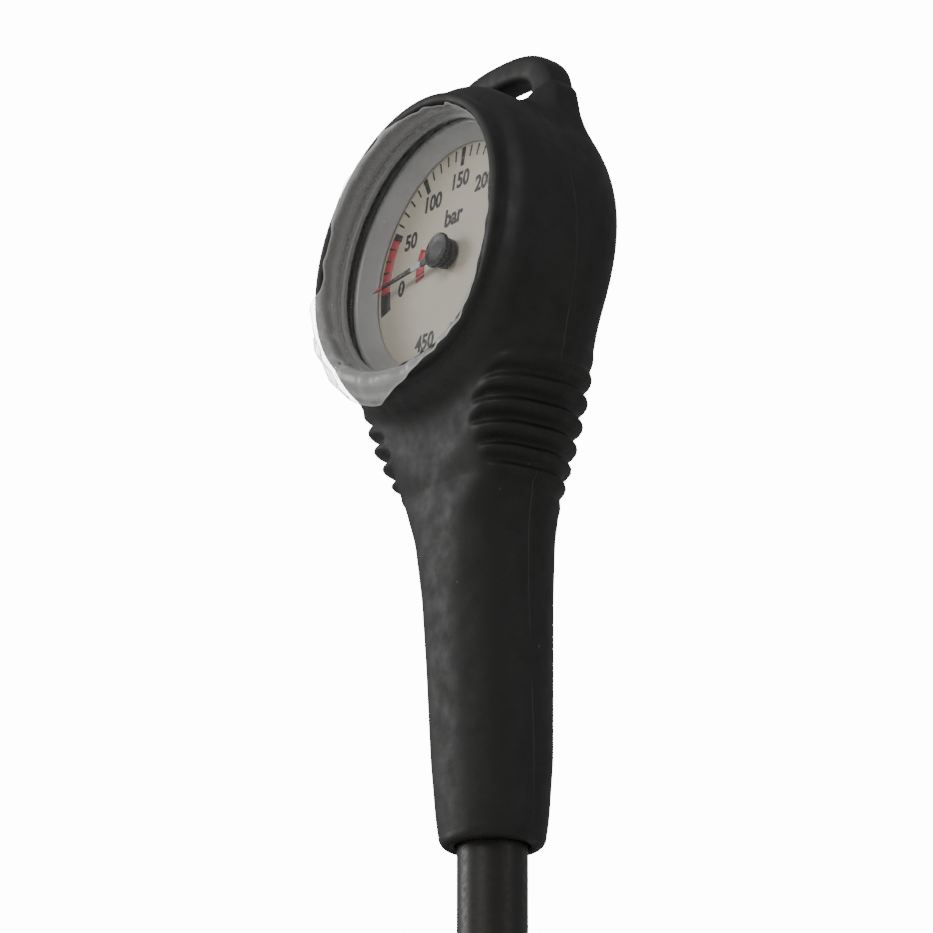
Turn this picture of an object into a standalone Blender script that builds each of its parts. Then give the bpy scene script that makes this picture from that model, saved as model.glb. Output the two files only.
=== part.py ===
"""Hand-held high-pressure gauge in a rubber boot, on a swivelling high-pressure hose.

Metres, +Z up.  The gauge hangs by its lanyard loop: the origin is the middle of the
loop's bar, on its underside.  The dial faces -Y and leans back by HEAD_LEAN.
The handle, its swivel and the hose share one vertical axis at Y = HANDLE_Y.
"""
import math

import bmesh
import bpy
from mathutils import Matrix, Vector

MM = 0.001
GAP = 0.3 * MM                      # clearance between neighbouring pieces

# Driving dimensions -------------------------------------------------------------
HEAD_LEAN = math.radians(7.5)       # the dial leans back from the handle's axis
HANDLE_Y = -3.3 * MM                # handle axis, in front of the hanging point
DIAL_DROP = 32.6 * MM               # dial centre below the hanging point
DIAL_FORWARD = 8.7 * MM             # dial centre in front of the handle axis

HEAD_R = 28.1 * MM                  # rubber head, outside radius
HEAD_BACK = -18.0 * MM              # heights run forward from the dial face
SHOULDER = 7.0 * MM
LIP_TOP = 9.8 * MM
MOUTH_R = 23.4 * MM
LOOP_HALF = 14.2 * MM               # lanyard loop, half width at its bar
LOOP_TOP = 37.8 * MM                # above the dial centre
LOOP_BAR = 4.0 * MM
LOOP_DEPTH = 5.8 * MM
LOOP_SETBACK = 7.6 * MM             # loop's middle behind the dial face
BOOT_BOTTOM = -99.5 * MM            # below the dial centre

CASE_R = 24.6 * MM                  # metal case, outside radius
CASE_WALL = 1.2 * MM
CASE_BACK = -16.2 * MM
CASE_FRONT = 5.9 * MM
LENS_R = 23.1 * MM
LENS_BASE, LENS_TOP = 3.3 * MM, 4.7 * MM
DIAL_R = 21.2 * MM
DIAL_T = 0.5 * MM
POINTER_ZERO = math.radians(186.2)  # dial angle of the zero mark, from 3 o'clock

PINION_R = 1.1 * MM                 # over the teeth
SECTOR_R = 11.1 * MM                # over the teeth
SECTOR_DROP = 12.5 * MM             # sector arbor below the dial centre
SECTOR_MID, SECTOR_HALF = math.radians(73.7), math.radians(21.3)
TAIL_R, TAIL_ANGLE = 5.0 * MM, math.radians(-36.3)
TUBE_R = 19.4 * MM                  # pressure tube's centreline

HOSE_R = 5.75 * MM                  # hose, outside radius
SWIVEL_BORE = 4.0 * MM

# The handle's sections: height from the dial centre, half width, front, back, and the
# corner radii of its front and back, in millimetres.
HANDLE_SECTIONS = [
    (-99.5, 7.2, -7.2, 7.2, 7.2, 7.2), (-98.4, 8.35, -8.35, 8.35, 8.3, 8.3),
    (-95.0, 9.15, -9.15, 9.15, 9.1, 9.1), (-85.0, 9.9, -10.0, 9.8, 9.8, 9.8),
    (-70.0, 10.3, -10.8, 9.8, 10.2, 10.2), (-58.0, 10.5, -11.5, 9.6, 10.0, 10.0),
    (-48.0, 11.3, -11.9, 9.5, 9.0, 10.2), (-42.0, 12.8, -12.3, 9.6, 8.0, 10.4),
    (-36.0, 15.8, -12.9, 9.7, 7.5, 11.3), (-30.0, 19.0, -13.6, 9.6, 7.5, 12.2),
    (-22.0, 22.5, -13.9, 9.4, 8.0, 13.0), (-8.0, 24.0, -13.9, 7.5, 8.0, 10.0)]


# Scene --------------------------------------------------------------------------
for old in list(bpy.data.objects):
    bpy.data.objects.remove(old, do_unlink=True)

PARTS = bpy.data.collections.new("pressure_gauge")
TOOLS = bpy.data.collections.new("cutters")
bpy.context.scene.collection.children.link(PARTS)
bpy.context.scene.collection.children.link(TOOLS)


def make_material(name, colour, roughness, metallic=0.0):
    mat = bpy.data.materials.new(name)
    mat.use_nodes = True
    shader = mat.node_tree.nodes["Principled BSDF"]
    shader.inputs["Base Color"].default_value = (*colour, 1.0)
    shader.inputs["Roughness"].default_value = roughness
    shader.inputs["Metallic"].default_value = metallic
    return mat


RUBBER = make_material("boot_rubber", (0.018, 0.017, 0.016), 0.62)
HOSE_RUBBER = make_material("hose_rubber", (0.022, 0.018, 0.016), 0.48)
SEAL = make_material("seal_rubber", (0.010, 0.010, 0.011), 0.45)
BRASS = make_material("brass", (0.68, 0.46, 0.18), 0.30, 1.0)
PLATED = make_material("chromed_brass", (0.62, 0.62, 0.62), 0.18, 1.0)
STEEL = make_material("steel", (0.50, 0.50, 0.50), 0.35, 1.0)
BRONZE = make_material("tube_bronze", (0.58, 0.36, 0.20), 0.35, 1.0)
CLEAR = make_material("clear_plastic", (0.90, 0.92, 0.92), 0.05)
FILM = make_material("clear_film", (0.80, 0.82, 0.82), 0.15)
CREAM = make_material("dial_paint", (0.72, 0.69, 0.58), 0.50)
GREY = make_material("grey_plastic", (0.35, 0.35, 0.34), 0.40)
BLACK = make_material("black_plastic", (0.02, 0.02, 0.02), 0.40)
RED = make_material("pointer_paint", (0.60, 0.05, 0.05), 0.45)
STRAP = make_material("tie_fabric", (0.03, 0.03, 0.03), 0.80)


def make_empty(name, parent=None, location=(0, 0, 0), rotation=(0, 0, 0)):
    empty = bpy.data.objects.new(name, None)
    PARTS.objects.link(empty)
    empty.parent = parent
    empty.location = location
    empty.rotation_euler = rotation
    return empty


# handle: origin on the handle axis at the dial's height.  dial: its +Z points out of the
# dial's face and its +Y up the dial, so that turned pieces stand on it.
HANDLE = make_empty("handle_axis", location=(0, HANDLE_Y, -DIAL_DROP))
DIAL = make_empty("dial_axis", HANDLE, (0, -DIAL_FORWARD, 0), (math.pi / 2 - HEAD_LEAN, 0, 0))


def place(obj, parent, location=(0, 0, 0), rotation=(0, 0, 0), material=None):
    obj.parent = parent
    obj.location = location
    obj.rotation_euler = rotation
    if material:
        obj.data.materials.append(material)
    return obj


def mesh_object(name, build, tool=False):
    mesh = bpy.data.meshes.new(name)
    bm = bmesh.new()
    build(bm)
    bmesh.ops.recalc_face_normals(bm, faces=bm.faces)
    bm.to_mesh(mesh)
    bm.free()
    obj = bpy.data.objects.new(name, mesh)
    (TOOLS if tool else PARTS).objects.link(obj)
    if tool:
        obj.hide_render = True
        obj.display_type = "WIRE"
    return obj


def turned(name, profile, steps=32, tool=False):
    """A turned solid about +Z; profile is (radius, height) from the top axis downward."""
    def build(bm):
        points = [bm.verts.new((radius, 0, height)) for radius, height in profile]
        for start, end in zip(points, points[1:]):
            bm.edges.new((start, end))
        if profile[0][0] > 0:
            bm.edges.new((points[-1], points[0]))
    obj = mesh_object(name, build, tool)
    screw = obj.modifiers.new("turn", "SCREW")
    screw.steps = steps
    screw.render_steps = steps
    screw.use_merge_vertices = True
    screw.merge_threshold = 0.00002
    obj.data.shade_smooth()
    return obj


def rod(name, radius, low, high, steps=16, tool=False):
    return turned(name, [(0, high), (radius, high), (radius, low), (0, low)], steps, tool)


def collar(name, inner, outer, low, high, steps=32, tool=False):
    return turned(name, [(inner, high), (outer, high), (outer, low), (inner, low)], steps, tool)


def o_ring(name, radius, section, height, steps=28, sides=8):
    """A ring of round section; its points run clockwise from the inner side."""
    profile = []
    for i in range(sides):
        angle = math.pi - 2 * math.pi * (i + 0.5) / sides
        profile.append((radius + section * math.cos(angle), height + section * math.sin(angle)))
    return turned(name, profile, steps)


def hexagon(name, across_flats, low, high, tool=False):
    def build(bm):
        radius = across_flats / math.sqrt(3)
        bmesh.ops.create_cone(bm, cap_ends=True, segments=6, radius1=radius, radius2=radius,
                              depth=high - low, matrix=Matrix.Translation((0, 0, (low + high) / 2)))
    return mesh_object(name, build, tool)


def plate(name, outline, low, high, tool=False):
    """A flat outline in XY, between two heights."""
    def build(bm):
        face = bm.faces.new([bm.verts.new((x, y, low)) for x, y in outline])
        made = bmesh.ops.extrude_face_region(bm, geom=[face])
        for vert in [item for item in made["geom"] if isinstance(item, bmesh.types.BMVert)]:
            vert.co.z = high
    return mesh_object(name, build, tool)


def boolean(obj, tool, operation="DIFFERENCE"):
    mod = obj.modifiers.new(operation.lower(), "BOOLEAN")
    mod.operation = operation
    mod.object = tool
    mod.solver = "EXACT"
    return obj


def arc(radius, start, end, count, centre=(0, 0)):
    points = []
    for i in range(count + 1):
        angle = start + (end - start) * i / count
        points.append((centre[0] + radius * math.cos(angle), centre[1] + radius * math.sin(angle)))
    return points


def curve_object(name, points, radius, parent, material, resolution=2):
    curve = bpy.data.curves.new(name, "CURVE")
    curve.dimensions = "3D"
    curve.bevel_depth = radius
    curve.bevel_resolution = resolution
    curve.use_fill_caps = True
    spline = curve.splines.new("POLY")
    spline.points.add(len(points) - 1)
    for point, co in zip(spline.points, points):
        point.co = (*co, 1.0)
    obj = bpy.data.objects.new(name, curve)
    PARTS.objects.link(obj)
    return place(obj, parent, material=material)


# Rubber boot --------------------------------------------------------------------
def rounded_section(half_width, front, back, front_corner, back_corner, per_corner=5):
    """A rectangle with round corners in XY, counter-clockwise from its back right corner."""
    least = 0.3
    front_corner = min(front_corner, half_width - least, back - front - back_corner - least)
    back_corner = min(back_corner, half_width - least)
    corners = [(1, back - back_corner, back_corner), (-1, back - back_corner, back_corner),
               (-1, front + front_corner, front_corner), (1, front + front_corner, front_corner)]
    points = []
    for quarter, (side, y, corner) in enumerate(corners):
        centre = (side * (half_width - corner), y)
        points += arc(corner, quarter * math.pi / 2, (quarter + 1) * math.pi / 2, per_corner, centre)
    return points


def handle_solid(name):
    """A loft through the handle's sections, closed at both ends."""
    def build(bm):
        rings = []
        for height, *section in HANDLE_SECTIONS:
            outline = rounded_section(*section)
            rings.append([bm.verts.new((x * MM, y * MM, height * MM)) for x, y in outline])
        count = len(rings[0])
        for lower, upper in zip(rings, rings[1:]):
            for i in range(count):
                j = (i + 1) % count
                bm.faces.new((lower[i], lower[j], upper[j], upper[i]))
        bm.faces.new(list(reversed(rings[0])))
        bm.faces.new(rings[-1])
    return mesh_object(name, build, tool=True)


def loop_solid(name):
    """The bail with flared feet; its slot ends on the head's top."""
    top, bar, base = LOOP_TOP, LOOP_BAR, 20.7 * MM
    half, foot = LOOP_HALF, 17.9 * MM
    outer_rise, slot_half, slot_top = 9.5 * MM, LOOP_HALF - 5.4 * MM, top - bar
    outer = [(foot, base), (half + 0.6 * MM, 27.5 * MM)]
    for i in range(9):
        angle = math.pi * i / 8
        outer.append((half * math.cos(angle), top - outer_rise + outer_rise * math.sin(angle)))
    outer += [(-half - 0.6 * MM, 27.5 * MM), (-foot, base)]
    slot = [(slot_half, base - MM)]
    for i in range(7):
        angle = math.pi * i / 6
        slot.append((slot_half * math.cos(angle), slot_top - 3.5 * MM + 3.5 * MM * math.sin(angle)))
    slot.append((-slot_half, base - MM))
    low, high = -LOOP_SETBACK - LOOP_DEPTH / 2, -LOOP_SETBACK + LOOP_DEPTH / 2
    bail = plate(name, outer, low, high, tool=True)
    hole = plate(name + "_slot", slot, low - MM, high + MM, tool=True)
    place(hole, DIAL)
    boolean(bail, hole)
    return bail


def rubber_boot():
    corner_back, corner_front = 9.5 * MM, 3.0 * MM
    profile = [(0, SHOULDER), (HEAD_R - corner_front, SHOULDER)]
    centre = (HEAD_R - corner_front, SHOULDER - corner_front)
    profile += arc(corner_front, math.pi / 2, 0, 4, centre)[1:]
    centre = (HEAD_R - corner_back, HEAD_BACK + corner_back)
    profile += arc(corner_back, 0, -math.pi / 2, 6, centre)
    profile.append((0, HEAD_BACK))
    boot = place(turned("rubber_boot", profile, 44), DIAL, material=RUBBER)
    lip = collar("boot_lip", MOUTH_R - MM, MOUTH_R + 1.6 * MM, 0, LIP_TOP, 44, tool=True)
    handle = place(handle_solid("boot_handle"), HANDLE)
    loop = place(loop_solid("boot_loop"), DIAL)
    for piece in (place(lip, DIAL), handle, loop):
        boolean(boot, piece, "UNION")
    nest_r, nest_back = CASE_R + GAP, CASE_BACK - GAP
    nest_corner = 7 * MM
    nest = [(0, LIP_TOP + MM), (MOUTH_R, LIP_TOP + MM), (MOUTH_R, CASE_FRONT + GAP),
            (nest_r, CASE_FRONT + GAP)]
    nest += arc(nest_corner, 0, -math.pi / 2, 4, (nest_r - nest_corner, nest_back + nest_corner))
    nest.append((0, nest_back))
    bore = [(0, -20 * MM), (3.3 * MM, -20 * MM), (3.3 * MM, -28.6 * MM), (8.1 * MM, -29.1 * MM),
            (8.1 * MM, -60 * MM), (7.6 * MM, -61.5 * MM), (7.6 * MM, -96 * MM), (6.15 * MM, -96.8 * MM),
            (6.15 * MM, -101 * MM), (0, -101 * MM)]
    boolean(boot, place(turned("boot_nest", nest, 36, tool=True), DIAL))
    boolean(boot, place(turned("boot_bore", bore, 20, tool=True), HANDLE))


# Gauge case, lens and dial --------------------------------------------------------
def gauge_case():
    corner = 7 * MM
    inner_r, inner_corner = CASE_R - CASE_WALL, corner - CASE_WALL
    inner_back = CASE_BACK + CASE_WALL
    outer = [(CASE_R, CASE_FRONT)]
    outer += arc(corner, 0, -math.pi / 2, 4, (CASE_R - corner, CASE_BACK + corner))
    inner = arc(inner_corner, -math.pi / 2, 0, 4, (inner_r - inner_corner, inner_back + inner_corner))
    inner.append((inner_r, CASE_FRONT))
    port = 3.0 * MM
    profile = [inner[-1]] + outer + [(port, CASE_BACK), (port, inner_back)] + inner[:-1]
    case = place(turned("gauge_case", profile, 36), DIAL, material=STEEL)
    hole = place(rod("case_stem_hole", 3.3 * MM, -32 * MM, -18 * MM, 20, tool=True), HANDLE)
    boolean(case, hole)
    plug = [(0, CASE_BACK + CASE_WALL + 1.0 * MM), (3.6 * MM, CASE_BACK + CASE_WALL + 1.0 * MM),
            (3.6 * MM, CASE_BACK + CASE_WALL + GAP), (2.7 * MM, CASE_BACK + CASE_WALL + GAP),
            (2.7 * MM, CASE_BACK + 0.2 * MM), (0, CASE_BACK + 0.2 * MM)]
    place(turned("relief_plug", plug, 20), DIAL, material=SEAL)


def lens_stack():
    edge = 0.25 * MM
    lens = [(0, LENS_TOP), (LENS_R - edge, LENS_TOP), (LENS_R, LENS_TOP - edge), (LENS_R, LENS_BASE),
            (0, LENS_BASE)]
    place(turned("lens", lens, 40), DIAL, material=CLEAR)
    place(o_ring("lens_seal", 22.4 * MM, 0.6 * MM, 2.3 * MM, 32, 6), DIAL, material=SEAL)
    place(collar("lens_ring", 22.3 * MM, LENS_R, LENS_TOP + GAP, CASE_FRONT - 0.3 * MM, 40), DIAL,
          material=GREY)
    cone = [(22.2 * MM, 1.4 * MM), (23.0 * MM, 1.4 * MM), (20.8 * MM, 0.3 * MM), (20.0 * MM, 0.3 * MM)]
    place(turned("dial_ring", cone, 40), DIAL, material=GREY)
    film = [(0, LENS_TOP + 0.55 * MM), (21.8 * MM, LENS_TOP + 0.55 * MM),
            (21.8 * MM, LENS_TOP + GAP), (0, LENS_TOP + GAP)]
    place(turned("lens_film", film, 36), DIAL, material=FILM)


FRONT_PLATE = (-2.6 * MM, -1.6 * MM)
BACK_PLATE = (-7.4 * MM, -6.6 * MM)
SECTOR_LAYER = (-4.9 * MM, -4.1 * MM)
LINK_LAYER = (-6.1 * MM, -5.4 * MM)
DIAL_FEET = ((-7.0 * MM, 3.0 * MM), (7.0 * MM, 3.0 * MM))
PILLARS = {"left": (-10.2 * MM, -3.2 * MM), "right": (10.2 * MM, -3.2 * MM),
           "lower": (-9.5 * MM, -16.0 * MM)}
MOUNT_SCREWS = {"upper": (-4.8 * MM, -12.4 * MM), "lower": (-4.8 * MM, -16.2 * MM)}


def at(point, height=0.0):
    return (point[0], point[1], height)


def dial_plate():
    dial = place(collar("dial_plate", 1.5 * MM, DIAL_R, -DIAL_T, 0, 40), DIAL, material=CREAM)
    for i, foot in enumerate(DIAL_FEET):
        post = rod(f"dial_foot_{i}", 0.6 * MM, -2.2 * MM, -0.2 * MM, 12, tool=True)
        boolean(dial, place(post, DIAL, at(foot)), "UNION")


# Pointer --------------------------------------------------------------------------
def pointer_work():
    hub = make_empty("pointer_axis", DIAL, rotation=(0, 0, POINTER_ZERO))
    low, high = 1.8 * MM, 2.1 * MM
    outline = [(19.0 * MM, 0), (17.6 * MM, 0.22 * MM), (9.0 * MM, 0.42 * MM), (2.3 * MM, 0.75 * MM)]
    outline += arc(2.6 * MM, 0.45, 2 * math.pi - 0.45, 14)
    outline += [(2.3 * MM, -0.75 * MM), (9.0 * MM, -0.42 * MM), (17.6 * MM, -0.22 * MM)]
    blade = place(plate("pointer", outline, low, high), hub, material=RED)
    boolean(blade, place(rod("pointer_eye", 0.9 * MM, low - MM, high + MM, 12, tool=True), hub))
    place(rod("pointer_cap", 2.85 * MM, 2.4 * MM, 3.0 * MM, 28), hub, material=BLACK)
    place(collar("pointer_boss", 0.9 * MM, 2.6 * MM, 0.4 * MM, 1.5 * MM, 28), hub, material=BLACK)
    return hub


# Movement -------------------------------------------------------------------------
def toothed(radius, depth, teeth, start, span):
    """Points round a toothed arc, four to a tooth."""
    points = []
    for i in range(teeth):
        for share, height in ((0.0, depth), (0.25, 0.0), (0.55, 0.0), (0.8, depth)):
            angle = start + span * (i + share) / teeth
            points.append(((radius - height) * math.cos(angle), (radius - height) * math.sin(angle)))
    return points


def pinion_arbor(hub):
    teeth = toothed(PINION_R, 0.3 * MM, 9, 0, 2 * math.pi)
    arbor = place(plate("pinion_arbor", teeth, -5.2 * MM, -3.7 * MM), hub, material=BRASS)
    shaft = rod("pinion_shaft", 0.6 * MM, -7.9 * MM, 1.95 * MM, 12, tool=True)
    boolean(arbor, place(shaft, hub), "UNION")


def sector_gear():
    pivot = make_empty("sector_axis", DIAL, (0, -SECTOR_DROP, 0))
    low, high = SECTOR_LAYER
    start = SECTOR_MID - SECTOR_HALF
    outline = toothed(SECTOR_R, 0.4 * MM, 18, start, 2 * SECTOR_HALF)
    outline += arc(2.0 * MM, SECTOR_MID + SECTOR_HALF + 0.4, 2 * math.pi + TAIL_ANGLE - 0.6, 8)
    tail = (TAIL_R * math.cos(TAIL_ANGLE), TAIL_R * math.sin(TAIL_ANGLE))
    outline += arc(1.4 * MM, TAIL_ANGLE - math.pi / 2, TAIL_ANGLE + math.pi / 2, 6, tail)
    outline += arc(2.0 * MM, TAIL_ANGLE + 0.7, start - 0.4, 3)
    gear = place(plate("sector_gear", outline, low, high), pivot, material=BRASS)
    for label, spot, radius in (("arbor", (0, 0), 1.0 * MM), ("tail", tail, 0.95 * MM)):
        hole = rod(f"sector_{label}_hole", radius, low - MM, high + MM, 12, tool=True)
        boolean(gear, place(hole, pivot, at(spot)))
    place(rod("sector_arbor", 0.65 * MM, -7.3 * MM, -1.9 * MM, 12), pivot, material=STEEL)


def movement_plates():
    outline = arc(5.5 * MM, 0.35, math.pi - 0.35, 8, (0, 2.0 * MM))
    outline += [(-12.2 * MM, -1.5 * MM), (-12.2 * MM, -16.5 * MM), (-8.0 * MM, -18.2 * MM)]
    lower = [(6.4 * MM, -18.2 * MM), (8.2 * MM, -12.0 * MM)]
    upper = [(2.0 * MM, -18.2 * MM), (3.0 * MM, -9.0 * MM)]
    foot = [(8.6 * MM, 0.8 * MM), (-8.6 * MM, 0.8 * MM)]
    right = [(12.2 * MM, -5.5 * MM), (12.2 * MM, -1.5 * MM)]
    wings = {"movement_front_plate": (FRONT_PLATE, upper), "movement_back_plate": (BACK_PLATE, lower)}
    for name, (layer, edge) in wings.items():
        piece = place(plate(name, outline + edge + right, *layer), DIAL, material=BRASS)
        holes = [((0, 0), 0.9 * MM), ((0, -SECTOR_DROP), 0.95 * MM)]
        holes += [(spot, 0.9 * MM) for spot in PILLARS.values()]
        if name == "movement_front_plate":
            holes += [(spot, 0.9 * MM) for spot in DIAL_FEET]
        else:
            holes += [(spot, 1.1 * MM) for spot in MOUNT_SCREWS.values()]
        for i, (spot, radius) in enumerate(holes):
            hole = rod(f"{name}_hole_{i}", radius, layer[0] - MM, layer[1] + MM, 12, tool=True)
            boolean(piece, place(hole, DIAL, at(spot)))
    for side, spot in PILLARS.items():
        high, low = FRONT_PLATE[0] - GAP, BACK_PLATE[1] + GAP
        spigot = 0.6 * MM
        profile = [(0, high + 1.0 * MM), (spigot, high + 1.0 * MM), (spigot, high), (1.3 * MM, high),
                   (1.3 * MM, low), (spigot, low), (spigot, low - 1.0 * MM), (0, low - 1.0 * MM)]
        place(turned(f"movement_pillar_{side}", profile, 14), DIAL, at(spot), material=BRASS)
    for side, spot in MOUNT_SCREWS.items():
        head = BACK_PLATE[1] + GAP
        profile = [(0, head + 0.7 * MM), (1.6 * MM, head + 0.7 * MM), (1.6 * MM, head), (0.8 * MM, head),
                   (0.8 * MM, head - 4.2 * MM), (0, head - 4.2 * MM)]
        place(turned(f"movement_screw_{side}", profile, 14), DIAL, at(spot), material=STEEL)


def hairspring():
    turns, per_turn = 3, 14
    curve = bpy.data.curves.new("hairspring", "CURVE")
    curve.dimensions = "3D"
    curve.extrude = 0.2 * MM
    spline = curve.splines.new("POLY")
    spline.points.add(turns * per_turn)
    for i, point in enumerate(spline.points):
        angle = 2 * math.pi * i / per_turn
        radius = (1.5 + 0.75 * i / per_turn) * MM
        point.co = (radius * math.cos(angle), radius * math.sin(angle), -3.2 * MM, 1.0)
    spring = bpy.data.objects.new("hairspring", curve)
    PARTS.objects.link(spring)
    place(spring, DIAL, material=BRONZE)
    wall = spring.modifiers.new("strip", "SOLIDIFY")
    wall.thickness = 0.14 * MM
    wall.offset = 0.0


# Pressure tube, socket and link ---------------------------------------------------
TUBE_START, TUBE_SWEEP = math.radians(-112), math.radians(-276)
TIP_ANGLE = TUBE_START + TUBE_SWEEP
TUBE_LEVEL = -11.4 * MM


def pressure_tube():
    """A flattened tube bent round the case, from the socket clockwise to its free tip."""
    half_wide, half_thin, sides, steps = 2.6 * MM, 0.9 * MM, 10, 26

    def build(bm):
        rings = []
        for i in range(steps + 1):
            angle = TUBE_START + TUBE_SWEEP * i / steps
            outward = Vector((math.cos(angle), math.sin(angle), 0))
            ring = []
            for k in range(sides):
                around = 2 * math.pi * k / sides
                centre = outward * (TUBE_R + half_thin * math.cos(around))
                ring.append(bm.verts.new(centre + Vector((0, 0, TUBE_LEVEL + half_wide * math.sin(around)))))
            rings.append(ring)
        for ring, following in zip(rings, rings[1:]):
            for k in range(sides):
                j = (k + 1) % sides
                bm.faces.new((ring[k], ring[j], following[j], following[k]))
        bm.faces.new(rings[0])
        bm.faces.new(rings[-1])
    tube = mesh_object("pressure_tube", build)
    tube.data.shade_smooth()
    place(tube, DIAL, material=BRONZE)


def tip_and_link():
    tip_end = TIP_ANGLE - math.radians(2.0)
    wide = math.radians(7)
    outline = arc(TUBE_R + 1.0 * MM, tip_end, tip_end - wide, 2)
    outline += arc(TUBE_R - 3.4 * MM, tip_end - wide, tip_end, 2)
    tip = plate("tube_tip", outline, TUBE_LEVEL - 2.2 * MM, LINK_LAYER[0] - GAP)
    place(tip, DIAL, material=BRASS)
    tip_pin = ((TUBE_R - 1.9 * MM) * math.cos(tip_end - wide / 2),
               (TUBE_R - 1.9 * MM) * math.sin(tip_end - wide / 2))
    post = rod("tube_tip_post", 0.5 * MM, LINK_LAYER[0] - MM, LINK_LAYER[1] + 0.2 * MM, 10, tool=True)
    boolean(tip, place(post, DIAL, at(tip_pin)), "UNION")
    tail_pin = (TAIL_R * math.cos(TAIL_ANGLE), TAIL_R * math.sin(TAIL_ANGLE) - SECTOR_DROP)
    along = Vector((tip_pin[0] - tail_pin[0], tip_pin[1] - tail_pin[1]))
    lean = math.atan2(along.y, along.x)
    outline = arc(1.4 * MM, lean + math.pi / 2, lean + 3 * math.pi / 2, 6, tail_pin)
    outline += arc(1.4 * MM, lean - math.pi / 2, lean + math.pi / 2, 6, tip_pin)
    link = place(plate("link", outline, *LINK_LAYER), DIAL, material=STEEL)
    hole = rod("link_eye", 0.8 * MM, LINK_LAYER[0] - MM, LINK_LAYER[1] + MM, 12, tool=True)
    boolean(link, place(hole, DIAL, at(tip_pin)))
    stud = rod("link_stud", 0.5 * MM, LINK_LAYER[1] - 0.2 * MM, SECTOR_LAYER[1] + 0.2 * MM, 10, tool=True)
    boolean(link, place(stud, DIAL, at(tail_pin)), "UNION")


STEM_TOP = -14.2 * MM


def socket_block():
    """The block that holds the tube's root and the movement; the stem screws up into it."""
    low, high = -14.5 * MM, BACK_PLATE[0] - GAP
    outline = [(-6.4 * MM, -10.5 * MM), (-6.4 * MM, -18.0 * MM), (6.4 * MM, -18.0 * MM),
               (6.4 * MM, -10.5 * MM)]
    block = place(plate("socket_block", outline, low, high), DIAL, material=BRASS)
    boolean(block, place(rod("block_stem_hole", 2.3 * MM, -30 * MM, STEM_TOP + GAP, 20, tool=True), HANDLE))
    for side, spot in MOUNT_SCREWS.items():
        hole = rod(f"block_screw_hole_{side}", 1.1 * MM, -11.0 * MM, high + MM, 12, tool=True)
        boolean(block, place(hole, DIAL, at(spot)))


# Swivel and hose end, all on the handle axis --------------------------------------
STEM_BASE = -42.0 * MM
NUT_TOP, NUT_BASE = -42.4 * MM, -60.0 * MM
SPOOL_TOP, SPOOL_BASE = -33.6 * MM, -54.0 * MM
UPPER_SEAL, LOWER_SEAL = -37.6 * MM, -49.4 * MM


def swivel():
    stem = [(0, STEM_TOP), (2.0 * MM, STEM_TOP), (2.0 * MM, -20.2 * MM), (2.9 * MM, -20.2 * MM),
            (2.9 * MM, -29.4 * MM), (6.0 * MM, -29.4 * MM),
            (6.0 * MM, STEM_BASE), (0, STEM_BASE)]
    bore = [(0, STEM_TOP + MM), (0.8 * MM, STEM_TOP + MM), (0.8 * MM, -33.2 * MM),
            (SWIVEL_BORE, -33.2 * MM), (SWIVEL_BORE, -44 * MM), (0, -44 * MM)]
    piece = place(turned("gauge_stem", stem, 20), HANDLE, material=PLATED)
    flats = hexagon("stem_flats", 13.0 * MM, -36.5 * MM, -30.5 * MM, tool=True)
    boolean(piece, place(flats, HANDLE), "UNION")
    boolean(piece, place(turned("stem_bore", bore, 20, tool=True), HANDLE))
    place(rod("restrictor", 0.5 * MM, -32.0 * MM, -29.0 * MM, 10), HANDLE, material=STEEL)
    body, groove, half_groove = 3.5 * MM, 2.2 * MM, 0.9 * MM
    spool = [(0.9 * MM, SPOOL_TOP), (body, SPOOL_TOP)]
    for seal in (UPPER_SEAL, LOWER_SEAL):
        spool += [(body, seal + half_groove), (groove, seal + half_groove),
                  (groove, seal - half_groove), (body, seal - half_groove)]
    spool += [(body, SPOOL_BASE), (0.9 * MM, SPOOL_BASE)]
    place(turned("swivel_spool", spool, 16), HANDLE, material=STEEL)
    place(o_ring("spool_seal_upper", 3.1 * MM, 0.6 * MM, UPPER_SEAL, 16, 6), HANDLE, material=SEAL)
    place(o_ring("spool_seal_lower", 3.1 * MM, 0.6 * MM, LOWER_SEAL, 16, 6), HANDLE, material=SEAL)


def hose_end():
    nut = [(0, NUT_TOP), (6.6 * MM, NUT_TOP), (6.6 * MM, NUT_BASE), (0, NUT_BASE)]
    bore = [(0, NUT_TOP + MM), (SWIVEL_BORE, NUT_TOP + MM), (SWIVEL_BORE, -54.4 * MM),
            (3.2 * MM, -54.6 * MM), (3.2 * MM, -61 * MM), (0, -61 * MM)]
    piece = place(turned("hose_nut", nut, 20), HANDLE, material=PLATED)
    flats = hexagon("nut_flats", 13.5 * MM, -56.0 * MM, -47.0 * MM, tool=True)
    boolean(piece, place(flats, HANDLE), "UNION")
    boolean(piece, place(turned("nut_bore", bore, 20, tool=True), HANDLE))
    tail = [(1.2 * MM, -55.2 * MM), (2.8 * MM, -55.2 * MM), (2.8 * MM, -60.4 * MM), (5.4 * MM, -60.4 * MM),
            (5.4 * MM, -61.6 * MM), (2.4 * MM, -61.6 * MM), (2.4 * MM, -78.0 * MM), (1.2 * MM, -78.0 * MM)]
    place(turned("hose_tail", tail, 14), HANDLE, material=PLATED)
    crimp = [(5.8 * MM, -60.5 * MM), (7.1 * MM, -60.5 * MM), (7.1 * MM, -80.0 * MM), (6.1 * MM, -80.0 * MM),
             (6.1 * MM, -61.9 * MM), (5.8 * MM, -61.7 * MM)]
    place(turned("ferrule_gauge_end", crimp, 20), HANDLE, material=PLATED)
    inner_end = collar("hose_inner_end", 2.7 * MM, HOSE_R, -78.3 * MM, -61.9 * MM, 20)
    place(inner_end, HANDLE, material=HOSE_RUBBER)


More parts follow.
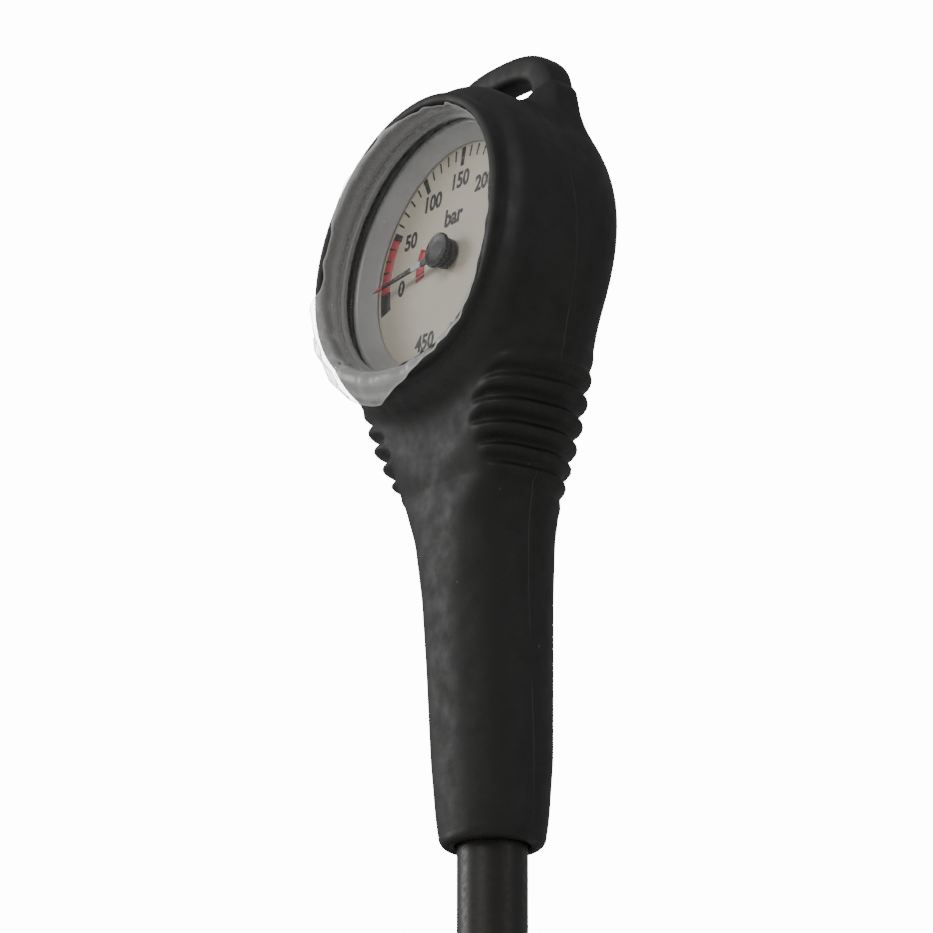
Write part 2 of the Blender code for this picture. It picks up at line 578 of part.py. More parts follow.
# Hose, its coil, ties and the far fitting -----------------------------------------
COIL_R = 60.0 * MM                      # middle of the turns
COIL_DROP = 175.0 * MM                  # coil centre below the dial centre
COIL_TURNS = 2
COIL_PITCH = 2 * HOSE_R + GAP           # the turns lie side by side, going back
COIL_HALF = COIL_TURNS * COIL_PITCH / 2 + HOSE_R
HOSE_START = -78.7 * MM
TURN_OUT_R, TURN_OUT = 83.6 * MM, math.radians(24)      # the hose bends away from the coil
FERRULE_LENGTH = 20.0 * MM
TIE_ANGLES = {"upper": math.radians(97), "lower": math.radians(-140)}


def hose_and_coil():
    ring_outer = COIL_R + HOSE_R
    clear = math.sqrt(ring_outer ** 2 - (COIL_R - HOSE_R) ** 2) + GAP
    low = -COIL_DROP + clear
    count = 8
    straight = [Vector((0, 0, HOSE_START + (low - HOSE_START) * i / count)) for i in range(count + 1)]
    curve_object("hose", straight, HOSE_R, HANDLE, HOSE_RUBBER)
    coil = make_empty("coil_axis", HANDLE, (-COIL_R, COIL_TURNS * COIL_PITCH / 2, -COIL_DROP),
                      (math.pi / 2, 0, 0))
    ring = collar("hose_coil", COIL_R - HOSE_R, ring_outer, -COIL_HALF, COIL_HALF, 40)
    place(ring, coil, material=HOSE_RUBBER)
    for label, angle in TIE_ANGLES.items():
        coil_tie(label, angle, coil)


def coil_tie(label, angle, coil):
    """A band round all the turns, its plane holding the coil's radius and its axis."""
    wall, half_length, slack = 1.3 * MM, 6.0 * MM, 0.85 * MM
    across, along = HOSE_R + slack, COIL_HALF + slack

    def outline(grow, corner):
        section = rounded_section((across + grow) / MM, -(along + grow) / MM, (along + grow) / MM,
                                  corner, corner, 3)
        return [(x * MM, y * MM) for x, y in section]
    band = plate(f"coil_tie_{label}", outline(wall, 3.0), -half_length, half_length)
    hole = plate(f"coil_tie_{label}_hole", outline(0, 1.7), -half_length - MM, half_length + MM, tool=True)
    spot = (COIL_R * math.cos(angle), COIL_R * math.sin(angle), 0)
    for piece in (band, hole):
        place(piece, coil, spot, (math.pi / 2, 0, angle))
    band.data.materials.append(STRAP)
    boolean(band, hole)


def far_end():
    """The stretch that leaves the coil, then ferrule and fitting on its own axis."""
    back = COIL_TURNS * COIL_PITCH
    turn_end = Vector((TURN_OUT_R * (1 - math.cos(TURN_OUT)), back,
                       -COIL_DROP - TURN_OUT_R * math.sin(TURN_OUT)))
    heading = Vector((math.sin(TURN_OUT), 0, -math.cos(TURN_OUT)))
    run = []
    for i in range(4):
        angle = math.radians(21.2) + (TURN_OUT - math.radians(21.2)) * i / 4
        run.append(Vector((TURN_OUT_R * (1 - math.cos(angle)), back,
                           -COIL_DROP - TURN_OUT_R * math.sin(angle))))
    run += [turn_end, turn_end + heading * (FERRULE_LENGTH - GAP)]
    curve_object("hose_lower_run", run, HOSE_R, HANDLE, HOSE_RUBBER)
    end = make_empty("far_axis", HANDLE, turn_end + heading * FERRULE_LENGTH, (0, -TURN_OUT, 0))
    crimp = [(HOSE_R + 0.35 * MM, FERRULE_LENGTH), (7.1 * MM, FERRULE_LENGTH), (7.1 * MM, -1.2 * MM),
             (5.0 * MM, -1.2 * MM), (5.0 * MM, -0.2 * MM), (HOSE_R + 0.35 * MM, 0.2 * MM)]
    place(turned("ferrule_valve_end", crimp, 24), end, material=PLATED)
    stud, groove = 5.4 * MM, 4.2 * MM
    fitting = [(0, 0), (4.6 * MM, 0), (4.6 * MM, -1.6 * MM), (7.0 * MM, -1.6 * MM), (7.0 * MM, -12.0 * MM),
               (groove, -12.0 * MM), (groove, -14.2 * MM), (stud, -14.2 * MM), (stud, -23.0 * MM),
               (4.6 * MM, -24.0 * MM), (0, -24.0 * MM)]
    piece = place(turned("valve_end_fitting", fitting, 24), end, material=PLATED)
    flats = hexagon("fitting_flats", 15.0 * MM, -10.5 * MM, -3.5 * MM, tool=True)
    boolean(piece, place(flats, end), "UNION")
    boolean(piece, place(rod("fitting_bore", 1.2 * MM, -25 * MM, MM, 12, tool=True), end))
    place(o_ring("valve_end_seal", 5.15 * MM, 0.65 * MM, -13.1 * MM, 20, 6), end, material=SEAL)


for make_piece in (rubber_boot, gauge_case, lens_stack, dial_plate, movement_plates, hairspring,
                   sector_gear, pressure_tube, tip_and_link, socket_block, swivel, hose_end,
                   hose_and_coil, far_end):
    make_piece()
pinion_arbor(pointer_work())
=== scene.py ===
# %% [markdown]
# # A contents gauge in its rubber boot
# This lesson dresses a finished set of engineering solids as the thing a diver or
# firefighter holds: a round pressure gauge in a soft black boot, on a swivelling
# high-pressure hose.  The solids come in as a fixed frame, in metres, and nothing in
# them moves.  We only give them finishes, and stand finer surfaces in for the soft ones.

import bmesh
import bpy
import numpy as np
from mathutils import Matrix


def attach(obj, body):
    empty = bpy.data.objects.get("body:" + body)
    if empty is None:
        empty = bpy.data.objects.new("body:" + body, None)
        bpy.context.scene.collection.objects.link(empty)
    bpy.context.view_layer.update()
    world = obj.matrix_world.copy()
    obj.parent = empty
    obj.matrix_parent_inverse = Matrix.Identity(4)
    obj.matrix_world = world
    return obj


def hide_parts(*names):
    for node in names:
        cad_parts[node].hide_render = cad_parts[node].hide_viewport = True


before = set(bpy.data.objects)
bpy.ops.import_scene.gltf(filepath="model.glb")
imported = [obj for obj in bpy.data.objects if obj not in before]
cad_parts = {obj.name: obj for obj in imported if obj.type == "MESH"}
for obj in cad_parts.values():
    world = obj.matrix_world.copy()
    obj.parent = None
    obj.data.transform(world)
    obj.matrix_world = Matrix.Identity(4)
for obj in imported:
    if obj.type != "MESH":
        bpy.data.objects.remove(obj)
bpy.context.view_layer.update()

# %% [markdown]
# ## Where things are
# Two axes carry the whole gauge.  The handle, its swivel and the hose share an upright
# axis.  The dial has its own axis, which leans back by 7.5 degrees so that the reader
# sees it square.  All the shapes below are worked out in millimetres about those two
# axes and turned into metres at the very end.

# %% The two axes
MM = 0.001
LEAN = np.radians(7.5)
HANDLE = np.array([0.0, -3.3, -32.6])            # handle axis, at the dial's height
DIAL = HANDLE + np.array([0.0, -8.7, 0.0])       # middle of the dial's face
OUT = np.array([0.0, -np.cos(LEAN), np.sin(LEAN)])   # out of the dial
UP = np.array([0.0, np.sin(LEAN), np.cos(LEAN)])     # up the dial
RIGHT = np.array([1.0, 0.0, 0.0])


def on_dial(across, up, out):
    """Dial position to world metres: centre + across*RIGHT + up*UP + out*OUT."""
    across, up, out = np.broadcast_arrays(across, up, out)
    return (DIAL + across[..., None] * RIGHT + up[..., None] * UP + out[..., None] * OUT) * MM


def polar_dial(radius, angle, out):
    """The same from a radius and an angle, counter-clockwise from the right."""
    return on_dial(radius * np.cos(angle), radius * np.sin(angle), out)


print("dial centre", np.round(DIAL, 2), "mm")

# %% [markdown]
# ## The camera
# The gauge is seen from its right and from a little below, through a long lens that
# keeps the handle's sides nearly parallel.  The camera is set before any looks, so that
# every piece is judged from where it will be seen.

# %% Camera
AZIMUTH, ELEVATION, DISTANCE = np.radians(53.9), np.radians(-17.6), 0.980
target = (HANDLE + np.array([0, 0, -40.0])) * MM
toward = np.array([np.sin(AZIMUTH) * np.cos(ELEVATION), -np.cos(AZIMUTH) * np.cos(ELEVATION),
                   np.sin(ELEVATION)])
camera = bpy.data.objects.new("camera", bpy.data.cameras.new("camera"))
bpy.context.scene.collection.objects.link(camera)
camera.location = target + toward * DISTANCE
camera.rotation_euler = (np.pi / 2 - ELEVATION, 0, AZIMUTH)
camera.data.lens = 230.7
camera.data.sensor_width = 36
camera.data.shift_x, camera.data.shift_y = -0.0278, 0.0312
camera.data.clip_start = 0.01
bpy.context.scene.camera = camera
print("camera", np.round(camera.location, 4))

# %% [markdown]
# ## Helpers for surfaces
# Almost every new piece is a grid: a function of two parameters worked out as one numpy
# array of points, rows by columns.  One helper turns such an array into a mesh, and can
# join the last column to the first, and the last row to the first.

# %% Grid to mesh
def mesh_piece(name, points, faces, smooth=True):
    """A mesh object at the origin, its place in its points."""
    mesh = bpy.data.meshes.new(name)
    mesh.from_pydata(np.asarray(points).reshape(-1, 3).tolist(), [], np.asarray(faces).tolist())
    mesh.update()
    if smooth:
        mesh.shade_smooth()
    piece = bpy.data.objects.new(name, mesh)
    bpy.context.scene.collection.objects.link(piece)
    return piece


def grid_faces(rows, columns, wrap_rows=False, wrap_columns=True):
    """Quads between neighbours of a rows x columns grid, wound to face outwards where
    the columns run counter-clockwise and the rows run upwards."""
    i = np.arange(rows if wrap_rows else rows - 1)[:, None]
    j = np.arange(columns if wrap_columns else columns - 1)[None, :]
    i2, j2 = (i + 1) % rows, (j + 1) % columns
    corners = np.broadcast_arrays(i * columns + j, i * columns + j2, i2 * columns + j2, i2 * columns + j)
    return np.stack(corners, -1).reshape(-1, 4)


def outward(piece):
    """Normals recalculated to face out of a closed shape."""
    work = bmesh.new()
    work.from_mesh(piece.data)
    bmesh.ops.recalc_face_normals(work, faces=work.faces)
    work.to_mesh(piece.data)
    work.free()
    piece.data.shade_smooth()
    return piece


def dress(piece, material, body):
    """Material and body in one call, with the triangle count printed."""
    piece.data.materials.clear()
    piece.data.materials.append(material)
    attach(piece, body)
    count = sum(len(p.vertices) - 2 for p in piece.data.polygons) if piece.type == "MESH" else "curve"
    print(f"{piece.name}: {count} triangles on {body}")
    return piece


def smooth_step(low, high, value):
    """0 below low, 1 above high, and 3t^2 - 2t^3 between them."""
    t = np.clip((value - low) / (high - low), 0, 1)
    return t * t * (3 - 2 * t)


# %% [markdown]
# ## Helpers for finishes
# Each finish starts as one Principled shader.  A small vocabulary of nodes is enough for
# all of them: noise on object coordinates, a ramp that turns noise into colour, and bump.

# %% Material helpers
class Finish:
    """One Principled material and short ways to add nodes to it."""

    def __init__(self, name, colour, roughness, metallic=0.0, **sockets):
        self.material = bpy.data.materials.new(name)
        self.material.use_nodes = True
        self.tree = self.material.node_tree
        self.shader = self.tree.nodes["Principled BSDF"]
        self.shader.inputs["Base Color"].default_value = (*colour, 1)
        self.shader.inputs["Roughness"].default_value = roughness
        self.shader.inputs["Metallic"].default_value = metallic
        for socket, value in sockets.items():
            self.shader.inputs[socket.replace("_", " ")].default_value = value
        self.place = self.node("ShaderNodeTexCoord").outputs["Object"]
        self.normal = None

    def node(self, kind, **settings):
        made = self.tree.nodes.new(kind)
        for key, value in settings.items():
            if key in made.inputs:
                made.inputs[key].default_value = value
            else:
                setattr(made, key, value)
        return made

    def join(self, start, end):
        self.tree.links.new(start, end)

    def noise(self, scale, detail=3.0, place=None):
        made = self.node("ShaderNodeTexNoise")
        made.inputs["Scale"].default_value = scale
        made.inputs["Detail"].default_value = detail
        self.join(place or self.place, made.inputs["Vector"])
        return made.outputs["Fac"]

    def ramp(self, value, stops):
        """Colour or grey stops: (position, colour) pairs."""
        made = self.node("ShaderNodeValToRGB")
        band = made.color_ramp
        while len(band.elements) < len(stops):
            band.elements.new(0.5)
        for element, (position, colour) in zip(band.elements, stops):
            element.position = position
            element.color = (*colour, 1) if len(colour) == 3 else colour
        self.join(value, made.inputs["Fac"])
        return made.outputs["Color"]

    def grey(self, value, low, high, start=0.3, end=0.7):
        return self.ramp(value, [(start, (low,) * 3), (end, (high,) * 3)])

    def maths(self, operation, first, second=None):
        made = self.node("ShaderNodeMath", operation=operation)
        for socket, value in zip(made.inputs, (first, second)):
            if value is None:
                continue
            if isinstance(value, (int, float)):
                socket.default_value = value
            else:
                self.join(value, socket)
        return made.outputs[0]

    def mix(self, share, first, second):
        made = self.node("ShaderNodeMix", data_type="RGBA")
        self.join(share, made.inputs[0])
        for socket, value in ((made.inputs[6], first), (made.inputs[7], second)):
            if isinstance(value, tuple):
                socket.default_value = (*value, 1)
            else:
                self.join(value, socket)
        return made.outputs[2]

    def bump(self, height, strength, distance):
        made = self.node("ShaderNodeBump")
        made.inputs["Strength"].default_value = strength
        made.inputs["Distance"].default_value = distance
        self.join(height, made.inputs["Height"])
        if self.normal:
            self.join(self.normal, made.inputs["Normal"])
        self.normal = made.outputs["Normal"]
        self.join(self.normal, self.shader.inputs["Normal"])
        return self

    def use(self, socket, value):
        self.join(value, self.shader.inputs[socket])
        return self

    def plane(self, normal, point):
        """Signed distance from a plane, in metres: (place - point) . normal."""
        shifted = self.node("ShaderNodeVectorMath", operation="SUBTRACT")
        self.join(self.place, shifted.inputs[0])
        shifted.inputs[1].default_value = [float(v) for v in point]
        dot = self.node("ShaderNodeVectorMath", operation="DOT_PRODUCT")
        self.join(shifted.outputs[0], dot.inputs[0])
        dot.inputs[1].default_value = [float(v) for v in normal]
        return dot.outputs["Value"]


# %% [markdown]
# ## The hose
# A high-pressure hose is stiff for its size, so it keeps wide, even curves.  It comes
# straight out of the boot.  What isn't in use is wound into a neat coil beside it, held
# by two straps, and its far end points down and out in a crimped fitting.  The route is
# a straight drop, a helix of two turns, and one wide bend the other way.

# %% Hose route
HOSE_R = 5.75
COIL_R, COIL_DROP, TURNS, PITCH = 60.0, 175.0, 2, 11.8
BEND_R, BEND, FERRULE = 83.6, np.radians(24), 20.0


def hose_route():
    """Drop: (0, 0, z).  Helix: middle + R(cos a, 0, sin a), moving back one pitch a turn.
    Bend: a circle on the other side, R(1 - cos a, ., -sin a), then a straight end."""
    drop = np.linspace(-78.7, -COIL_DROP, 15)[:-1, None] * np.array([0, 0, 1.0])
    a = np.linspace(0, -2 * np.pi * TURNS, 56 * TURNS + 1)
    helix = np.stack([-COIL_R + COIL_R * np.cos(a), -a / (2 * np.pi) * PITCH,
                      -COIL_DROP + COIL_R * np.sin(a)], -1)
    b = np.linspace(0, BEND, 9)[1:]
    bend = np.stack([BEND_R * (1 - np.cos(b)), np.full(b.shape, TURNS * PITCH),
                     -COIL_DROP - BEND_R * np.sin(b)], -1)
    heading = np.array([np.sin(BEND), 0, -np.cos(BEND)])
    end = bend[-1] + heading * np.linspace(0, FERRULE - 0.4, 4)[1:, None]
    return np.vstack([drop, helix, bend, end]) + HANDLE


route = hose_route() * MM
length = np.linalg.norm(np.diff(route, axis=0), axis=1).sum()
print(f"hose route {length:.3f} m")

# %% [markdown]
# The cover is extruded rubber, smoother and a little browner than the boot.  Its finish
# is a satin black with faint streaks and the odd speck of dust.

# %% Hose rubber
hose_finish = Finish("hose rubber", (0.010, 0.008, 0.007), 0.42)
cloud = hose_finish.noise(180)
hose_finish.use("Base Color", hose_finish.ramp(cloud, [(0.3, (0.0085, 0.0068, 0.0060)),
                                                       (0.7, (0.0145, 0.0115, 0.0100))]))
hose_finish.use("Roughness", hose_finish.grey(hose_finish.noise(900), 0.36, 0.52))
hose_finish.bump(hose_finish.noise(1600, 4), 0.25, 0.00006)

# %% Hose piece
curve = bpy.data.curves.new("hose_whole", "CURVE")
curve.dimensions = "3D"
curve.bevel_depth = HOSE_R * MM
curve.bevel_resolution = 8
curve.use_fill_caps = True
spline = curve.splines.new("POLY")
spline.points.add(len(route) - 1)
spline.points.foreach_set("co", np.hstack([route, np.ones((len(route), 1))]).ravel())
spline.use_smooth = True
hose = bpy.data.objects.new("hose_whole", curve)
bpy.context.scene.collection.objects.link(hose)
dress(hose, hose_finish.material, "hose")
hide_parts("hose", "hose_coil", "hose_lower_run")

# %% [markdown]
# ## The straps round the coil
# Two short straps of woven tape hold the turns together.  Each is a flat band that runs
# round the turns like a rounded rectangle, with its end lapped over itself.  The band is
# a closed outline carried across its width, with a little crown so that it looks soft.

# %% Strap shape
STRAP_HALF, STRAP_WALL = 6.0, 0.9


def strap_piece(name, angle):
    """Outline: a rounded rectangle round both turns, walked once and a fifth more, the
    lap lifted by its own thickness.  Width: half circle at each edge."""
    across, along, corner = HOSE_R + 0.35, TURNS * PITCH / 2 + HOSE_R + 0.35, HOSE_R
    s = np.linspace(0.0, 1.18, 150)
    turn = 2 * np.pi * s + 0.9
    inner = np.stack([np.sign(np.cos(turn)) * np.abs(np.cos(turn)) ** 0.42 * across,
                      np.sign(np.sin(turn)) * np.abs(np.sin(turn)) ** 0.36 * along], -1)
    lift = 0.1 + 1.0 * smooth_step(0.93, 1.02, s)
    step = np.gradient(inner, axis=0)
    out = np.stack([step[:, 1], -step[:, 0]], -1)
    out /= np.linalg.norm(out, axis=1, keepdims=True)
    section = np.linspace(0, 2 * np.pi, 29)[:-1]
    wide = np.clip(np.cos(section) * 1.25, -1, 1) * STRAP_HALF
    thick = (np.sign(np.sin(section)) * np.abs(np.sin(section)) ** 0.5 * 0.5 + 0.5) * STRAP_WALL
    flat = inner[:, None, :] + out[:, None, :] * (lift[:, None, None] + thick[None, :, None])
    radial = np.array([np.cos(angle), 0, np.sin(angle)])
    tangent = np.array([-np.sin(angle), 0, np.cos(angle)])
    middle = HANDLE + np.array([-COIL_R, TURNS * PITCH / 2, -COIL_DROP]) + radial * COIL_R
    points = (middle + flat[..., :1] * radial + flat[..., 1:] * np.array([0, 1.0, 0])
              + np.broadcast_to(wide[None, :, None], flat[..., :1].shape) * tangent)
    rows, columns = points.shape[:2]
    faces = grid_faces(rows, columns).tolist()
    faces += [list(range(columns))[::-1], list(range((rows - 1) * columns, rows * columns))]
    mesh = bpy.data.meshes.new(name)
    mesh.from_pydata((points.reshape(-1, 3) * MM).tolist(), [], faces)
    piece = bpy.data.objects.new(name, mesh)
    bpy.context.scene.collection.objects.link(piece)
    return outward(piece)


strap_finish = Finish("woven strap", (0.02, 0.02, 0.021), 0.85)
weave = strap_finish.node("ShaderNodeTexWave", wave_type="BANDS", bands_direction="DIAGONAL")
weave.inputs["Scale"].default_value = 420
strap_finish.join(strap_finish.place, weave.inputs["Vector"])
strap_finish.use("Base Color", strap_finish.ramp(weave.outputs["Color"], [
    (0.1, (0.010, 0.010, 0.011)), (0.9, (0.035, 0.035, 0.037))]))
strap_finish.bump(weave.outputs["Fac"], 0.6, 0.00015)
for label, angle in (("upper", 97), ("lower", -140)):
    strap = strap_piece(f"coil_strap_{label}", np.radians(angle))
    dress(strap, strap_finish.material, "hose")
    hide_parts(f"coil_tie_{label}")

# %% [markdown]
# ## The boot: one soft skin
# The boot is moulded in one piece, so every part of it flows into the next: a round head,
# a raised lip round the window, a handle that narrows to the hose, grip ridges on both
# flanks, and the feet of the lanyard loop.  Such a blend is easy to say as a field, a
# number that is negative inside and positive outside, because two fields join softly
# with a smooth minimum.  The skin is where the field is zero.

# %% The boot's field
HEAD_R, HEAD_BACK, SHOULDER, LIP_TOP, MOUTH_R = 28.1, -18.0, 7.0, 9.8, 23.4
CREST_R, LIP_R = 24.0, 25.25
LOOP_OUT, LOOP_HALF = 7.6, 2.9       # the loop's middle behind the dial, and half its depth
BOTTOM = -99.5
# height, half width, front, back, front corner, back corner
SECTIONS = np.array([
    (-99.5, 8.5, -8.5, 8.5, 8.5, 8.5), (-95.0, 9.15, -9.15, 9.15, 9.1, 9.1),
    (-85.0, 9.9, -10.0, 9.8, 9.8, 9.8), (-70.0, 10.3, -10.8, 9.8, 10.2, 10.2),
    (-58.0, 10.5, -11.5, 9.6, 10.0, 10.0), (-48.0, 11.3, -11.9, 9.5, 9.0, 10.2),
    (-42.0, 12.8, -12.3, 9.6, 8.0, 10.4), (-36.0, 15.8, -12.9, 9.7, 7.5, 11.3),
    (-30.0, 19.0, -13.6, 9.6, 7.5, 12.2), (-22.0, 22.5, -13.9, 9.4, 8.0, 13.0),
    (-8.0, 24.0, -13.9, 7.5, 8.0, 10.0), (0.0, 24.0, -13.9, 7.5, 8.0, 10.0)])


def softened(column):
    """The section values against height, drawn as straight runs and then averaged over
    5 mm so that no kink is left."""
    fine = np.arange(-112.0, 6.0, 0.25)
    values = np.interp(fine, SECTIONS[:, 0], SECTIONS[:, column])
    kernel = np.hanning(25)
    return fine, np.convolve(np.pad(values, 12, mode="edge"), kernel / kernel.sum(), "valid")


TABLE = [softened(column) for column in range(1, 6)]


def rounded_box(across, along, corner):
    """Distance to a rectangle with round corners; across and along are the distances
    past its inner, unrounded rectangle."""
    return (np.hypot(np.maximum(across, 0), np.maximum(along, 0))
            + np.minimum(np.maximum(across, along), 0) - corner)


def soft_min(first, second, reach):
    """Smooth minimum: the smaller value, less h^3 reach/6 where h = 1 - |gap|/reach."""
    h = np.maximum(reach - np.abs(first - second), 0) / reach
    return np.minimum(first, second) - h ** 3 * reach / 6


def dial_frame(p):
    """Across, up and out of a point given about the handle axis."""
    y = p[..., 1] + 8.7
    up = y * np.sin(LEAN) + p[..., 2] * np.cos(LEAN)
    return p[..., 0], up, -y * np.cos(LEAN) + p[..., 2] * np.sin(LEAN)


def lip_drop(degrees):
    """How far the lip sinks on its lower right: 2.7 exp(-((a + 55)/40)^2)."""
    return 2.7 * np.exp(-((degrees + 55) / 40) ** 2)


def head_field(p):
    """A thick disc on the dial axis, small front corner, large back corner, and on its
    front the lip: a lower, narrower disc, whose middle the window opens."""
    across, up, out = dial_frame(p)
    r = np.hypot(across, up)
    drop = lip_drop(np.degrees(np.arctan2(up, across)))
    front, top = SHOULDER - 0.75 * drop, LIP_TOP - drop
    middle, half = (front + HEAD_BACK) / 2, (front - HEAD_BACK) / 2
    corner = np.where(out > middle, 3.4, 9.5)
    disc = rounded_box(r - HEAD_R + corner, np.abs(out - middle) - half + corner, corner)
    lip = rounded_box(r - LIP_R + 0.8, np.abs(out) - top + 0.8, 0.8)
    return soft_min(disc, lip, 2.2)


def handle_field(p):
    """The handle's rounded rectangle at this height.  Below the head its front is flat
    only inside a V; outside the V it falls away, which draws the crease."""
    x, y, z = np.abs(p[..., 0]), p[..., 1], p[..., 2]
    half, front, back, front_corner, back_corner = [np.interp(z, fine, v) for fine, v in TABLE]
    middle, depth = (back + front) / 2, (back - front) / 2
    corner = np.minimum(np.where(y > 0, back_corner, front_corner), np.minimum(half, depth))
    shape = rounded_box(x - half + corner, np.abs(y - middle) - depth + corner, corner)
    edge = np.clip(1.47 * (z + 40.5), 0, None)
    slope = 0.17 * smooth_step(-47, -39, z) * smooth_step(-20, -28, z)
    fall = slope * np.log1p(np.exp(np.clip((x - edge) / 0.7, -40, 40))) * 0.7
    cut = (front + 0.30 + fall) - y
    return np.maximum(-soft_min(-shape, -cut, 2.2), z - 2)


GROOVES = np.array([-45.0, -41.6, -38.6, -35.8, -32.4, -29.0, -25.3, -21.9, -18.4])
DEPTHS = np.array([0.0, 0.22, 0.62, 0.80, 0.85, 0.80, 0.62, 0.22, 0.0])
FRONT_END = np.array([62.0, 58.0, 50.5, 46.5, 43.5, 46.0, 53.3, 60.0, 64.0])


def ridges(p):
    """Cosine waves up the flanks, a groove at each listed height, faded out towards the
    front along a V and towards the back."""
    turn = np.degrees(np.arctan2(np.abs(p[..., 0]), -p[..., 1]))
    z = p[..., 2]
    wave = -np.cos(2 * np.pi * np.interp(z, GROOVES, np.arange(len(GROOVES))))
    wave = np.sign(wave) * np.abs(wave) ** 0.8
    start = np.interp(z, GROOVES, FRONT_END)
    ends = smooth_step(start - 3.5, start + 3.5, turn) * smooth_step(156, 142, turn)
    return np.interp(z, GROOVES, DEPTHS) * (wave - 0.15) * ends


def loop_feet(p):
    """Two short bars under the loop's legs, as distance to a segment."""
    across, up, out = dial_frame(p)
    start, end = np.array([19.2, 9.0]), np.array([14.2, 26.0])
    way = end - start
    share = np.clip(((np.abs(across) - start[0]) * way[0] + (up - start[1]) * way[1]) / (way @ way), 0, 1)
    near = np.hypot(np.abs(across) - start[0] - share * way[0], up - start[1] - share * way[1])
    return rounded_box(near - 3.9 + 1.6, np.abs(out + LOOP_OUT) - LOOP_HALF + 1.6, 1.6)


def boot_field(p):
    body = soft_min(head_field(p), handle_field(p), 6.0)
    return soft_min(body, loop_feet(p), 5.0) - ridges(p)


# %% [markdown]
# To turn the field into a grid, rays go out from a curve inside the boot to a cage round
# it, and each ray is cut where the field changes sign.  Up the handle the rays lie level.
# From the neck on, each sheet of rays turns about a line in front of the neck, over the
# back of the head, until the last sheet is a cone that meets the crest of the lip.

# %% Boot rays
COLUMNS = 240
around = np.linspace(0, 2 * np.pi, COLUMNS, endpoint=False)


def ray_sheets():
    """(start, end) of every ray: level rings, then rings that pass through the hinge line,
    hinge + R(1 + sin t) d + R cos t RIGHT, with d turning from level to up the dial."""
    z = np.linspace(-98.3, -45.0, 92)[:-1]
    start = np.zeros((len(z), COLUMNS, 3))
    start[..., 2] = z[:, None]
    reach = np.stack([40 * np.cos(around), 40 * np.sin(around), 0 * around], -1)
    starts, ends = [start], [start + reach[None]]
    turn = np.radians(np.concatenate([np.linspace(0, 72, 122), np.linspace(72, 82.5, 42)[1:]]))
    share = (turn / turn[-1])[:, None]
    inner = ((1 - share) ** 2 * [0, 0, -45.0] + 2 * share * (1 - share) * [0, 0, -12.0]
             + share ** 2 * [0, -8.7, 0])
    radius = (34.4 + 13.6 * share)[..., None]
    way = np.stack([0 * turn, np.cos(turn), np.sin(turn)], -1)[:, None]
    hinge = np.array([0, -34.4, -45.0])
    cage = hinge + radius * ((1 + np.sin(around))[None, :, None] * way
                             + np.cos(around)[None, :, None] * RIGHT)
    starts.append(np.broadcast_to(inner[:, None], cage.shape))
    ends.append(cage)
    return np.concatenate(starts), np.concatenate(ends)


def cut_rays(start, end, field):
    """Bisection on every ray at once: halve the part of it where the sign changes."""
    low, high = np.zeros(start.shape[:2]), np.ones(start.shape[:2])
    for _ in range(26):
        middle = (low + high) / 2
        inside = field(start + (end - start) * middle[..., None]) < 0
        low, high = np.where(inside, middle, low), np.where(inside, high, middle)
    return start + (end - start) * low[..., None]


def clear_mouth(points):
    """The field's lip is a full disc.  Points on its flat top inside radius 24 move out to
    a narrow band, 24 - 0.045 (24 - r), which leaves the window open."""
    across, up, out = dial_frame(points)
    r = np.hypot(across, up)
    on_top = (r < CREST_R) & (out > 3)
    moved = (CREST_R - 0.045 * (CREST_R - r)) / np.maximum(r, 1.0)
    spread = np.where(on_top, moved, 1.0)
    return on_dial(across * spread, up * spread, out) / MM - HANDLE


starts, ends = ray_sheets()
outer = cut_rays(starts, ends, boot_field)
outer = clear_mouth(outer)
print("boot skin rows", outer.shape[0])

# %% [markdown]
# The wall is thin, so the inside is the same skin moved 1.6 mm inwards, on fewer rows.
# The two are joined by the rolled edge at the bottom, and by the wall of the window at
# the top, which makes one closed tube of a skin.

# %% Boot mesh
def level_rings(pairs):
    """Circles about the handle axis, from (radius, height) pairs."""
    return np.array([np.stack([radius * np.cos(around), radius * np.sin(around),
                               np.full(COLUMNS, height)], -1) for radius, height in pairs])


WALL = 1.6
inward = starts - outer
inward /= np.linalg.norm(inward, axis=-1, keepdims=True)
inner_skin = (outer + WALL * inward)[6:-26:6][::-1]
signed = np.degrees((around + np.pi) % (2 * np.pi) - np.pi)
mouth = []
MOUTH_FOOT, MOUTH_HEIGHT = 6.25, 3.45
for radius, height in [(23.62, 9.70), (23.45, 9.50), (MOUTH_R, 9.2), (MOUTH_R, 7.6), (MOUTH_R, MOUTH_FOOT)]:
    sunk = height - lip_drop(signed) * (height - MOUTH_FOOT) / MOUTH_HEIGHT
    mouth.append(polar_dial(radius, around, sunk) / MM - HANDLE)
mouth = np.array(mouth)
rim = level_rings([(6.15, -96.4), (6.15, -99.1), (6.35, -99.4), (7.2, -99.5), (7.9, -99.35),
                   (8.35, -98.95)])
boot_points = np.concatenate([outer, mouth, inner_skin, rim])
boot_faces = grid_faces(len(boot_points), COLUMNS, wrap_rows=True)

# %% [markdown]
# The loop itself is a bar bent over the head.  Its line and its width come from a few
# stations, smoothed, and its section is a rounded box: a superellipse, whose powers of
# sine and cosine square off a circle.

